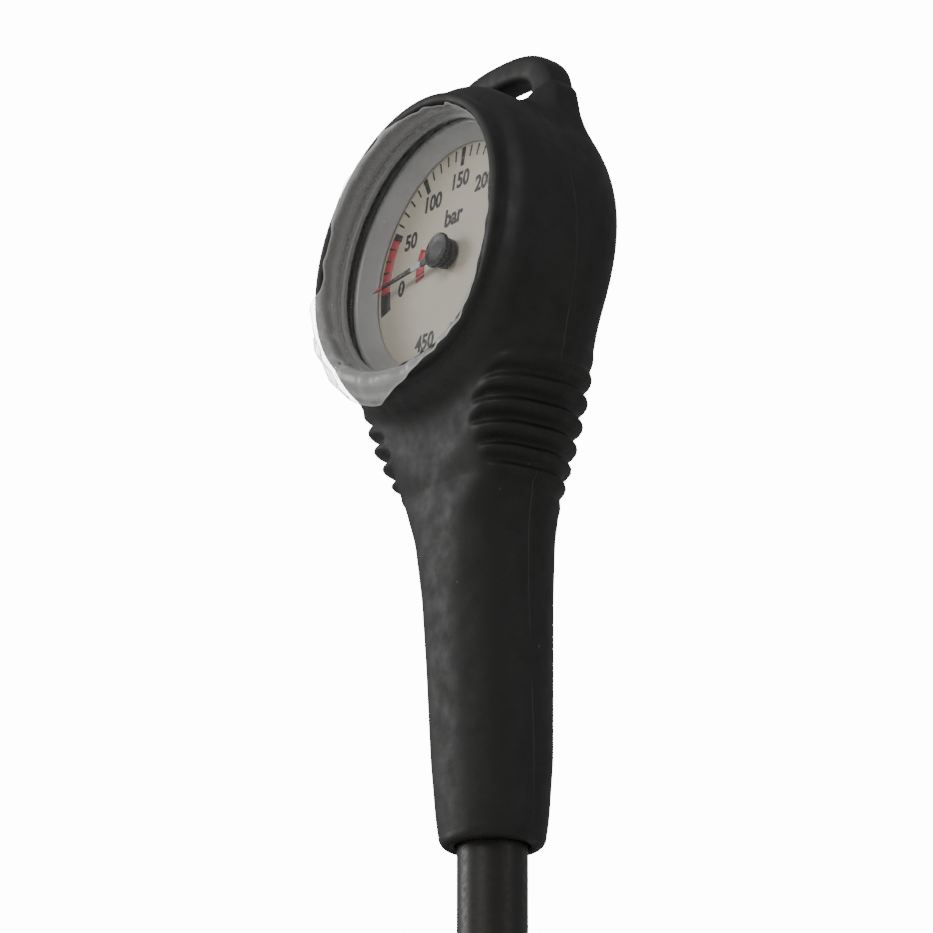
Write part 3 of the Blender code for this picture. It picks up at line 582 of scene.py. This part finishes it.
# %% Loop bar
def loop_bar(rows=110, columns=44):
    """Line: legs that lean in, then an arch.  Section: superellipse, wide in the leg's
    own plane and twice LOOP_HALF deep."""
    angle = np.linspace(0, np.pi, 61)
    arch = np.stack([13.4 * np.sign(np.cos(angle)) * np.abs(np.cos(angle)) ** 0.80,
                     27.6 + 7.3 * np.sin(angle) ** 0.85], -1)
    leg = np.array([(18.8, 9.0), (17.4, 15.0), (15.7, 20.5), (14.2, 25.0)])
    line = np.vstack([leg, arch, leg[::-1] * [-1, 1]])
    run = np.concatenate([[0], np.cumsum(np.linalg.norm(np.diff(line, axis=0), axis=1))])
    even = np.linspace(0, run[-1], rows)
    line = np.stack([np.interp(even, run, line[:, 0]), np.interp(even, run, line[:, 1])], -1)
    for _ in range(6):
        line[1:-1] = (line[:-2] + 2 * line[1:-1] + line[2:]) / 4
    step = np.gradient(line, axis=0)
    step /= np.linalg.norm(step, axis=1, keepdims=True)
    side = np.stack([step[:, 1], -step[:, 0]], -1)
    half = np.interp(line[:, 1], [9, 15, 21, 26, 30, 33, 34.9], [3.4, 4.4, 4.4, 3.6, 2.9, 2.6, 2.5])
    turn = np.linspace(0, 2 * np.pi, columns, endpoint=False)
    wide = np.sign(np.cos(turn)) * np.abs(np.cos(turn)) ** 0.62
    deep = np.sign(np.sin(turn)) * np.abs(np.sin(turn)) ** 0.62 * LOOP_HALF
    flat = line[:, None, :] + side[:, None, :] * (half[:, None] * wide[None, :])[..., None]
    points = on_dial(flat[..., 0], flat[..., 1], -LOOP_OUT + np.broadcast_to(deep, flat.shape[:2]))
    return points / MM - HANDLE


bar = loop_bar()
bar_faces = grid_faces(*bar.shape[:2])
count = boot_points.shape[0] * COLUMNS
caps = [list(range(bar.shape[1]))[::-1], list(range((bar.shape[0] - 1) * bar.shape[1], bar[..., 0].size))]
all_points = np.vstack([boot_points.reshape(-1, 3), bar.reshape(-1, 3)]) + HANDLE
all_faces = boot_faces.tolist() + (bar_faces + count).tolist()
all_faces += [[i + count for i in cap] for cap in caps]
mesh = bpy.data.meshes.new("rubber_skin")
mesh.from_pydata((all_points * MM).tolist(), [], all_faces)
boot = bpy.data.objects.new("rubber_skin", mesh)
bpy.context.scene.collection.objects.link(boot)
outward(boot)

# %% [markdown]
# Boot rubber is matt and almost black, with a warm cast.  Close up it has a fine tooth
# from the mould, cloudy patches where it was handled, specks of dust, and the parting
# line of the mould down each flank, a hair's breadth proud.

# %% Boot rubber
rubber = Finish("boot rubber", (0.0075, 0.0070, 0.0066), 0.58)
cloud = rubber.noise(70, 4)
tone = rubber.ramp(cloud, [(0.3, (0.0062, 0.0058, 0.0054)), (0.7, (0.0098, 0.0092, 0.0086))])
specks = rubber.node("ShaderNodeTexVoronoi", feature="F1")
specks.inputs["Scale"].default_value = 210
rubber.join(rubber.place, specks.inputs["Vector"])
dust = rubber.grey(specks.outputs["Distance"], 1.0, 0.0, 0.035, 0.06)
rare = rubber.grey(rubber.noise(95, 1), 0.0, 1.0, 0.60, 0.66)
speck = rubber.maths("MULTIPLY", dust, rare)
seam_way = np.array([0, 1.0, 0.055]) / np.hypot(1, 0.055)
seam = rubber.maths("ABSOLUTE", rubber.plane(seam_way, (HANDLE + [0, -0.3, -60.0]) * MM))
seam = rubber.grey(rubber.maths("MULTIPLY", seam, 1000.0), 1.0, 0.0, 0.05, 0.12)
seam = rubber.maths("MULTIPLY", seam, rubber.grey(rubber.noise(60, 2), 0.0, 1.0, 0.42, 0.55))
worn = rubber.mix(seam, tone, (0.045, 0.042, 0.040))
rubber.use("Base Color", rubber.mix(speck, worn, (0.16, 0.15, 0.14)))
rubber.use("Roughness", rubber.grey(rubber.noise(350), 0.54, 0.68))
rubber.bump(rubber.noise(2600, 4), 0.22, 0.00005)
rubber.bump(seam, 0.5, 0.00006)
dress(boot, rubber.material, "gauge")
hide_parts("rubber_boot")
print("boot", np.round(all_points.min(0), 1), np.round(all_points.max(0), 1), "mm")

# %% [markdown]
# ## Under the window
# Between the dial and the window stands a pale, slightly milky ring.  It hides the case
# wall and the window's seal, and it throws light onto the dial.  It is a turned shape: a
# closed outline of radius and height, carried once round the dial's axis.

# %% Turned pieces on the dial axis
def turned_piece(name, outline, columns=180):
    """Row i is the circle of outline point i, radius and height out of the dial."""
    angle = np.linspace(0, 2 * np.pi, columns, endpoint=False)
    r, out = np.array(outline, float).T
    points = polar_dial(r[:, None], angle[None, :], out[:, None])
    return outward(mesh_piece(name, points, grid_faces(len(outline), columns, wrap_rows=True)))


slope = np.linspace(0, 1, 12)
face_r, face_out = 19.9 + 2.35 * slope, 0.28 + 2.75 * slope ** 1.15
ring_outline = [*zip(face_r, face_out), (22.5, 3.1), (23.0, 3.1), (23.1, 3.0), (23.1, 1.2),
                (22.6, 0.9), (20.4, 0.12), (20.0, 0.12)]
reflector = turned_piece("reflector_ring", ring_outline)
milky = Finish("milky ring", (0.42, 0.42, 0.41), 0.38, Subsurface_Weight=0.15, Coat_Weight=0.2)
milky.shader.inputs["Subsurface Radius"].default_value = (0.002, 0.002, 0.002)
milky.use("Base Color", milky.ramp(milky.noise(120), [
    (0.3, (0.35, 0.35, 0.345)), (0.7, (0.43, 0.43, 0.425))]))
milky.bump(milky.noise(700), 0.08, 0.00005)
dress(reflector, milky.material, "gauge")
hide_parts("dial_ring", "lens_seal")

# %% [markdown]
# ## The dial's face
# The plate is sheet metal in cream enamel.  Its marks are printed: a short bar every ten
# units, a long heavy one every fifty, a black block behind zero, a red band over the
# first fifty, and a red arc near the hub.  Each mark is a thin slip that stands a few
# hundredths of a millimetre proud of the enamel, which keeps its edges crisp.

# %% Dial marks
ZERO, STEP = np.radians(186.2), np.radians(0.652)      # angle of zero, and per unit


def dial_angle(value):
    """Marks run clockwise from zero, equal angles for equal values."""
    return ZERO - STEP * np.asarray(value, float)


def slips(name, radii, angles, height=0.04):
    """Closed slips: radius between radii[i], angle between angles[i], as small grids."""
    across, along = 9, 2
    points, faces = [], []
    for (r0, r1), (a0, a1) in zip(radii, angles):
        a = np.linspace(a0, a1, across)
        r = np.linspace(r0, r1, along)
        top = polar_dial(r[:, None], a[None, :], height)
        base = polar_dial(r[:, None], a[None, :], 0.005)
        start = sum(len(p) for p in points)
        points += [np.concatenate([top, base[::-1]]).reshape(-1, 3)]
        faces += (grid_faces(2 * along, across, wrap_rows=True, wrap_columns=False) + start).tolist()
        ends = np.arange(2 * along) * across + start
        faces += [ends.tolist(), (ends + across - 1)[::-1].tolist()]
    return outward(mesh_piece(name, np.vstack(points), faces))


def bars(values, outer, length, width):
    """Radii and angles of straight bars of one width, centred on the values."""
    middle = dial_angle(values)
    half = width / 2 / (outer - length / 2)
    return [(outer - length, outer)] * len(middle), [(m - half, m + half) for m in middle]


ink = Finish("printed black", (0.018, 0.018, 0.019), 0.45)
ink.use("Roughness", ink.grey(ink.noise(2500), 0.38, 0.55))
red_ink = Finish("printed red", (0.52, 0.045, 0.055), 0.42)
red_ink.use("Base Color", red_ink.ramp(red_ink.noise(900), [
    (0.3, (0.50, 0.040, 0.050)), (0.7, (0.58, 0.060, 0.070))]))

minor = [v for v in range(10, 450, 10) if v % 50]
major = list(range(100, 451, 50))
radii, angles = bars(minor, 19.6, 2.0, 0.34)
more = bars(major, 19.7, 3.4, 0.95)
radii, angles = radii + more[0], angles + more[1]
radii += [(16.8, 19.4), (16.8, 19.4)]
angles += [tuple(dial_angle([53, 47.5])), tuple(dial_angle([1, -18]))]
marks = slips("dial_marks", radii, angles)
dress(marks, ink.material, "gauge")
red = slips("dial_red_band", [(17.0, 19.5), (7.2, 9.6), (7.2, 9.6)],
            [tuple(dial_angle([47.4, 1.1])), tuple(dial_angle([45, -3])), tuple(dial_angle([-6, -13]))], 0.03)
dress(red, red_ink.material, "gauge")

# %% [markdown]
# The numbers stand upright on the dial.  Text starts as a curve with a little body, is
# thickened to the weight of a printed face, and becomes a mesh before it is placed.

# %% Dial numbers
def dial_text(text, across, up, size, squeeze=0.86):
    """A text curve made a mesh, centred on (across, up), lying on the enamel."""
    curve = bpy.data.curves.new("text", "FONT")
    curve.body, curve.size = text, size
    curve.align_x, curve.align_y = "CENTER", "CENTER"
    curve.offset, curve.extrude, curve.resolution_u = 0.030 * size, 0.02, 4
    source = bpy.data.objects.new("text", curve)
    bpy.context.scene.collection.objects.link(source)
    bpy.context.view_layer.update()
    mesh = bpy.data.meshes.new_from_object(source.evaluated_get(bpy.context.evaluated_depsgraph_get()))
    bpy.data.objects.remove(source, do_unlink=True)
    co = np.empty(len(mesh.vertices) * 3)
    mesh.vertices.foreach_get("co", co)
    co = co.reshape(-1, 3)
    placed = on_dial(co[:, 0] * squeeze + across, co[:, 1] + up, co[:, 2] + 0.03)
    mesh.vertices.foreach_set("co", placed.ravel())
    mesh.update()
    return mesh


lettering = bmesh.new()
for value in [0, 50, 100, 150, 200, 250, 300, 350, 400, 450]:
    radius = 13.6 + (1.6 if value in (400, 450) else 0.0)
    a = float(dial_angle(value)) + (0.06 if value == 0 else 0.0)
    lettering.from_mesh(dial_text(str(value), radius * np.cos(a), radius * np.sin(a), 4.0))
lettering.from_mesh(dial_text("bar", -0.3, 7.2, 4.4))
numbers_mesh = bpy.data.meshes.new("dial_numbers")
lettering.to_mesh(numbers_mesh)
lettering.free()
numbers = bpy.data.objects.new("dial_numbers", numbers_mesh)
bpy.context.scene.collection.objects.link(numbers)
dress(numbers, ink.material, "gauge")

enamel = Finish("cream enamel", (0.52, 0.49, 0.40), 0.42, Coat_Weight=0.15, Coat_Roughness=0.25)
enamel.use("Base Color", enamel.ramp(enamel.noise(90, 4), [
    (0.3, (0.56, 0.51, 0.40)), (0.7, (0.60, 0.55, 0.44))]))
enamel.use("Roughness", enamel.grey(enamel.noise(1800), 0.36, 0.48))
enamel.bump(enamel.noise(3000), 0.05, 0.00003)

# %% [markdown]
# ## The pointer
# The blade is painted black with a red tip, and a pale patch sits over the inner arc.
# The paint changes with the distance from the dial's axis, which the blade's material
# works out from object coordinates, so the colours turn with it.

# %% Pointer paint
pointer_paint = Finish("pointer paint", (0.02, 0.02, 0.02), 0.35)
from_hub = pointer_paint.node("ShaderNodeVectorMath", operation="DISTANCE")
pointer_paint.join(pointer_paint.place, from_hub.inputs[0])
from_hub.inputs[1].default_value = list((DIAL + 1.95 * OUT) * MM)
reach = pointer_paint.maths("MULTIPLY", from_hub.outputs["Value"], 40.0)
bands = pointer_paint.ramp(reach, [
    (0.0, (0.012, 0.012, 0.012)), (0.222, (0.012, 0.012, 0.012)), (0.226, (0.42, 0.43, 0.45)),
    (0.326, (0.42, 0.43, 0.45)), (0.330, (0.012, 0.012, 0.012)), (0.655, (0.012, 0.012, 0.012)),
    (0.660, (0.55, 0.05, 0.06))])
pointer_paint.use("Base Color", bands)
pointer_paint.use("Roughness", pointer_paint.grey(pointer_paint.noise(1500), 0.28, 0.42))

hub_black = Finish("hub black", (0.008, 0.008, 0.008), 0.42)
hub_black.use("Roughness", hub_black.grey(hub_black.noise(900), 0.36, 0.50))
hub_black.bump(hub_black.noise(2500), 0.1, 0.00004)

# %% [markdown]
# The hub is a small black knob.  Its rim is knurled, forty grooves round it, and its
# face is a shallow dish inside a raised edge.

# %% Hub knob
def hub_knob():
    """Radius over height: a profile, with (1 - cos 40 a) grooves cut in its side."""
    a = np.linspace(0, 2 * np.pi, 320, endpoint=False)
    profile = np.array([(0.0, 2.9), (1.2, 2.88), (2.5, 2.86), (2.75, 3.0), (2.95, 3.0), (3.05, 2.9),
                        (3.05, 2.35), (2.9, 2.3), (0.0, 2.3)])
    r = np.repeat(profile[:, :1], len(a), 1)
    side = ((profile[:, 0] > 2.8)[:, None]) * 0.06 * (1 - np.cos(40 * a)[None, :])
    points = polar_dial(r - side, a[None, :], np.repeat(profile[:, 1:], len(a), 1))
    return points


knob_points = hub_knob()
knob = outward(mesh_piece("hub_knob", knob_points, grid_faces(*knob_points.shape[:2])))
welded = bmesh.new()
welded.from_mesh(knob.data)
bmesh.ops.remove_doubles(welded, verts=welded.verts, dist=1e-7)
bmesh.ops.recalc_face_normals(welded, faces=welded.faces)
welded.to_mesh(knob.data)
welded.free()
dress(knob, hub_black.material, "pointer")
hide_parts("pointer_cap")

# %% [markdown]
# ## The window and its film
# The window is a clear flat disc.  A new gauge still wears its protective film: a thin
# clear sheet laid over the window, creased where it is pressed into the lip, climbing
# over the lip on one side and hanging loose below.  The film is one surface of distance
# and angle: flat on the window, then following a path up the lip's wall and over it,
# cut off at a length that changes with the angle.

# %% Clear finishes
def clear_finish(name, tint, least, most, roughness, specular):
    """Mostly see-through, and more solid where it is seen edge-on."""
    made = Finish(name, tint, roughness, Specular_IOR_Level=specular)
    edge = made.node("ShaderNodeLayerWeight", Blend=0.35)
    made.solid = made.ramp(edge.outputs["Facing"], [(0.60, (least,) * 3), (0.98, (most,) * 3)])
    made.use("Alpha", made.solid)
    made.material.surface_render_method = "BLENDED"
    return made


window = clear_finish("clear window", (0.80, 0.82, 0.82), 0.010, 0.12, 0.04, 0.5)
window.bump(window.noise(120), 0.02, 0.00002)

# %% Film surface
FLAT_R, FLAT_OUT = 21.9, 4.97          # the flat of the window under the film
# radius and height of the film beyond the flat: up the lip's wall, over it and down
FILM_PATH = np.array([(FLAT_R, FLAT_OUT), (22.8, 5.35), (23.1, 7.6), (23.25, 9.7), (24.2, 10.35),
                      (25.4, 10.2), (26.6, 9.2), (27.7, 8.0), (28.3, 6.2), (28.45, 3.9)])
# degrees round the dial, and how far the film runs there beyond the window's flat, mm
FILM_EDGE = np.array([
    (-95, 10.5), (-85, 8.5), (-70, 7.4), (-40, 6.8), (0, 5.2), (40, 4.4), (85, 5.0),
    (110, 5.6), (130, 6.2), (142, 6.9), (150, 6.2), (158, 5.3), (170, 5.1), (183, 5.2),
    (190, 6.5), (197, 9.0), (205, 12.0), (222, 13.4), (245, 13.2), (258, 12.4), (265, 10.5)])


def film_surface(rows=84, columns=260):
    """Distance q(21.9 + reach(angle)) from the middle: on the window up to 21.9, then
    along the path.  Creases are waves in angle that grow beyond the window's edge.  Also
    gives how opaque and pale each point is: clear on the window, milkier where the film
    climbs off it, paler on the raised half of the creases and at the cut edge, and with
    painted highlight streaks along the climb."""
    angle = np.linspace(-np.pi / 2, 1.5 * np.pi, columns, endpoint=False)
    degrees = np.degrees(angle)
    degrees = np.where(degrees > 265, degrees - 360, degrees)
    reach = np.interp(degrees, FILM_EDGE[:, 0], FILM_EDGE[:, 1])
    kernel = np.hanning(13) / np.hanning(13).sum()
    reach = np.convolve(np.pad(reach, 6, mode="wrap"), kernel, "valid")
    reach = reach + 0.25 * np.sin(7 * angle + 0.6) + 0.15 * np.sin(17 * angle)
    q = np.linspace(0.02, 1, rows)[:, None] ** 0.8
    distance = q * (FLAT_R + reach)[None, :]
    run = np.concatenate([[0], np.cumsum(np.linalg.norm(np.diff(FILM_PATH, axis=0), axis=1))])
    beyond = np.clip(distance - FLAT_R, 0, run[-1])
    r = np.where(distance < FLAT_R, distance, np.interp(beyond, run, FILM_PATH[:, 0]))
    out = np.where(distance < FLAT_R, FLAT_OUT, np.interp(beyond, run, FILM_PATH[:, 1]))
    loose = smooth_step(0.6, 5.0, beyond)
    crease = (np.sin(23 * angle + 1.3 * np.sin(3 * angle)) + 0.6 * np.sin(41 * angle + 2.0))[None, :]
    hot = (np.exp(-((degrees + 62) / 22) ** 2) + 0.8 * np.exp(-((degrees - 70) / 20) ** 2)
           + 0.7 * np.exp(-((degrees - 225) / 35) ** 2))[None, :]
    ripple = 0.035 * np.sin(0.9 * distance + 3 * angle[None, :]) * smooth_step(4, 18, distance)
    out = out + ripple + loose * (0.10 + 0.22 * hot) * crease
    r = r + loose * 0.10 * hot * crease * (distance > FLAT_R)
    # Painted highlight: a sine wave of pale streaks along the climb, added to the film's opacity.
    painted_highlight_streak = 0.5 + 0.5 * np.sin(2.6 * beyond + 0.8 * np.sin(2 * angle[None, :]))
    milky = (0.16 * smooth_step(0.3, 1.6, beyond) + 0.10 * painted_highlight_streak * smooth_step(0.3, 1.6, beyond)
             + 0.05 * smooth_step(3.2, 6.5, beyond) + 0.10 * loose * np.clip(hot * crease, 0, 1)
             + 0.30 * smooth_step(0.985, 1.0, q) * loose)
    out = out - lip_drop((degrees + 180) % 360 - 180)[None, :] * smooth_step(5.3, 9.6, out)
    return polar_dial(r, angle[None, :], out), milky


film_points, milky_and_sheen_share = film_surface()
film = mesh_piece("window_film", film_points, grid_faces(*film_points.shape[:2])[:, ::-1])
# The loose attribute carries the film's milkiness and its painted highlight streaks into its opacity.
film.data.attributes.new("loose", "FLOAT", "POINT").data.foreach_set("value", milky_and_sheen_share.ravel())
film_finish = clear_finish("clear film", (0.88, 0.88, 0.87), 0.012, 0.30, 0.22, 0.5)
milky_and_sheen_node = film_finish.node("ShaderNodeAttribute", attribute_name="loose")
film_finish.use("Alpha", film_finish.maths("ADD", film_finish.solid, milky_and_sheen_node.outputs["Fac"]))
film_finish.bump(film_finish.noise(160, 2), 0.05, 0.00005)
thick = film.modifiers.new("thickness", "SOLIDIFY")
thick.thickness = 0.00006
thick.offset = 0
dress(film, film_finish.material, "gauge")
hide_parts("lens_film")

# %% [markdown]
# Dust gathers on a film.  A few dozen pale specks, each a flattened grain of a handful
# of faces, are strewn over it by a seeded draw.

# %% Dust on the film
rng = np.random.default_rng(7)
grains = 46
grain_r = 22.0 * np.sqrt(rng.random(grains))
grain_a = rng.random(grains) * 2 * np.pi
grain_size = 0.05 + 0.10 * rng.random(grains) ** 3
corner = np.linspace(0, 2 * np.pi, 7)[:-1]
base = polar_dial(grain_r, grain_a, np.full(grains, 5.07)) / MM
outline = base[:, None, :] + grain_size[:, None, None] * (
    np.cos(corner)[None, :, None] * RIGHT * (0.6 + rng.random((grains, 1, 1)))
    + np.sin(corner)[None, :, None] * UP)
tops = base + 0.04 * OUT
dust_points = np.concatenate([outline, tops[:, None], (base - 0.02 * OUT)[:, None]], 1) * MM
first = (np.arange(grains) * 8)[:, None, None]
k = np.arange(6)
fans = np.concatenate([np.stack([k, (k + 1) % 6, 0 * k + 6], -1), np.stack([(k + 1) % 6, k, 0 * k + 7], -1)])
dust_piece = mesh_piece("film_dust", dust_points, (fans[None] + first).reshape(-1, 3))
dust_finish = Finish("dust", (0.62, 0.61, 0.58), 0.9)
dust_finish.use("Base Color", dust_finish.ramp(dust_finish.noise(800), [
    (0.3, (0.5, 0.5, 0.48)), (0.7, (0.7, 0.69, 0.66))]))
dress(dust_piece, dust_finish.material, "gauge")

# %% [markdown]
# ## Metal and small parts
# The works inside are brass and bronze, the swivel and the crimps are bright plating,
# and the case is drawn steel.  They are mostly hidden, but each keeps its own finish,
# with fine turning marks in the bump and smears in the roughness.

# %% Metals and the table of finishes
def metal(name, colour, roughness, tooth):
    made = Finish(name, colour, roughness, 1.0)
    dark = tuple(0.86 * c for c in colour)
    made.use("Base Color", made.ramp(made.noise(160, 4), [(0.3, dark), (0.7, colour)]))
    made.use("Roughness", made.grey(made.noise(600), roughness * 0.75, roughness * 1.3))
    made.bump(made.noise(tooth, 2), 0.12, 0.00003)
    return made.material


brass = metal("turned brass", (0.68, 0.48, 0.20), 0.30, 2200)
bronze = metal("tube bronze", (0.60, 0.36, 0.20), 0.34, 1800)
plating = metal("bright plating", (0.66, 0.66, 0.67), 0.16, 1500)
steel = metal("drawn steel", (0.50, 0.50, 0.51), 0.34, 2600)
seal = Finish("seal rubber", (0.010, 0.010, 0.011), 0.45)
seal.use("Roughness", seal.grey(seal.noise(800), 0.38, 0.55))
grey_plastic = Finish("grey plastic", (0.30, 0.30, 0.30), 0.42)
grey_plastic.use("Roughness", grey_plastic.grey(grey_plastic.noise(900), 0.34, 0.5))
grey_plastic.bump(grey_plastic.noise(1400), 0.1, 0.00004)

FINISHES = {
    "gauge_case": steel, "relief_plug": seal.material, "lens": window.material,
    "lens_seal": seal.material, "lens_ring": grey_plastic.material, "lens_film": film_finish.material,
    "dial_ring": milky.material, "dial_plate": enamel.material, "movement_front_plate": brass,
    "movement_back_plate": brass, "movement_pillar_left": brass, "movement_pillar_right": brass,
    "movement_pillar_lower": brass, "movement_screw_upper": steel, "movement_screw_lower": steel,
    "hairspring": bronze, "pressure_tube": bronze, "socket_block": brass, "gauge_stem": plating,
    "restrictor": steel, "swivel_spool": steel, "spool_seal_upper": seal.material,
    "spool_seal_lower": seal.material, "pointer": pointer_paint.material,
    "pointer_cap": hub_black.material, "pointer_boss": hub_black.material, "pinion_arbor": brass,
    "sector_gear": brass, "sector_arbor": steel, "tube_tip": brass, "link": steel,
    "hose_nut": plating, "hose_tail": plating, "ferrule_gauge_end": plating,
    "hose_inner_end": hose_finish.material, "hose": hose_finish.material,
    "hose_coil": hose_finish.material, "hose_lower_run": hose_finish.material,
    "coil_tie_upper": strap_finish.material, "coil_tie_lower": strap_finish.material,
    "ferrule_valve_end": plating, "valve_end_fitting": plating, "valve_end_seal": seal.material,
    "rubber_boot": rubber.material}
for name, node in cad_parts.items():
    for place_in_list in node.material_slots:
        place_in_list.material = FINISHES[name]
    if not node.material_slots:
        node.data.materials.append(FINISHES[name])
print(len(FINISHES), "nodes dressed")

# %% [markdown]
# ## The studio
# A wide pale floor lies below the hose's end.  An even sky stands in for white walls: it
# is seen brighter than it lights, as a blown-out backdrop is.  Three soft lamps shape the
# black rubber: one from the left, one from above the dial, and a weak one on the right,
# so that the ridges and the lip still read.

# %% Floor, sky and lamps
floor_points = np.array([[-3, -3, -0.42], [3, -3, -0.42], [3, 3, -0.42], [-3, 3, -0.42]], float)
floor = mesh_piece("floor", floor_points, [[0, 1, 2, 3]], smooth=False)
pale = Finish("pale floor", (0.80, 0.80, 0.79), 0.7)
pale.use("Base Color", pale.ramp(pale.noise(3), [(0.3, (0.79, 0.79, 0.78)), (0.7, (0.82, 0.82, 0.81))]))
floor.data.materials.append(pale.material)

world = bpy.data.worlds.new("white studio")
bpy.context.scene.world = world
world.use_nodes = True
sky = world.node_tree.nodes["Background"]
sky.inputs["Color"].default_value = (1, 1, 1, 1)
seen = world.node_tree.nodes.new("ShaderNodeLightPath")
strength = world.node_tree.nodes.new("ShaderNodeMapRange")
strength.inputs["To Min"].default_value = 0.34      # what lights the gauge
strength.inputs["To Max"].default_value = 14.0      # what the eye sees behind it
world.node_tree.links.new(seen.outputs["Is Camera Ray"], strength.inputs["Value"])
world.node_tree.links.new(strength.outputs["Result"], sky.inputs["Strength"])


def lamp(name, azimuth, elevation, distance, size, power):
    """A square soft lamp at an angle about the gauge, turned to face it."""
    a, e = np.radians(azimuth), np.radians(elevation)
    way = np.array([np.sin(a) * np.cos(e), -np.cos(a) * np.cos(e), np.sin(e)])
    light = bpy.data.lights.new(name, "AREA")
    light.size, light.energy = size, power
    lamp_object = bpy.data.objects.new(name, light)
    bpy.context.scene.collection.objects.link(lamp_object)
    lamp_object.location = target + way * distance
    lamp_object.rotation_euler = (np.pi / 2 - e, 0, a)
    return lamp_object


lamp("key", 15, 30, 1.2, 0.5, 4.2)
lamp("rim", -50, 15, 1.2, 0.5, 5.0)
lamp("fill", 105, 10, 1.3, 0.6, 0.9)
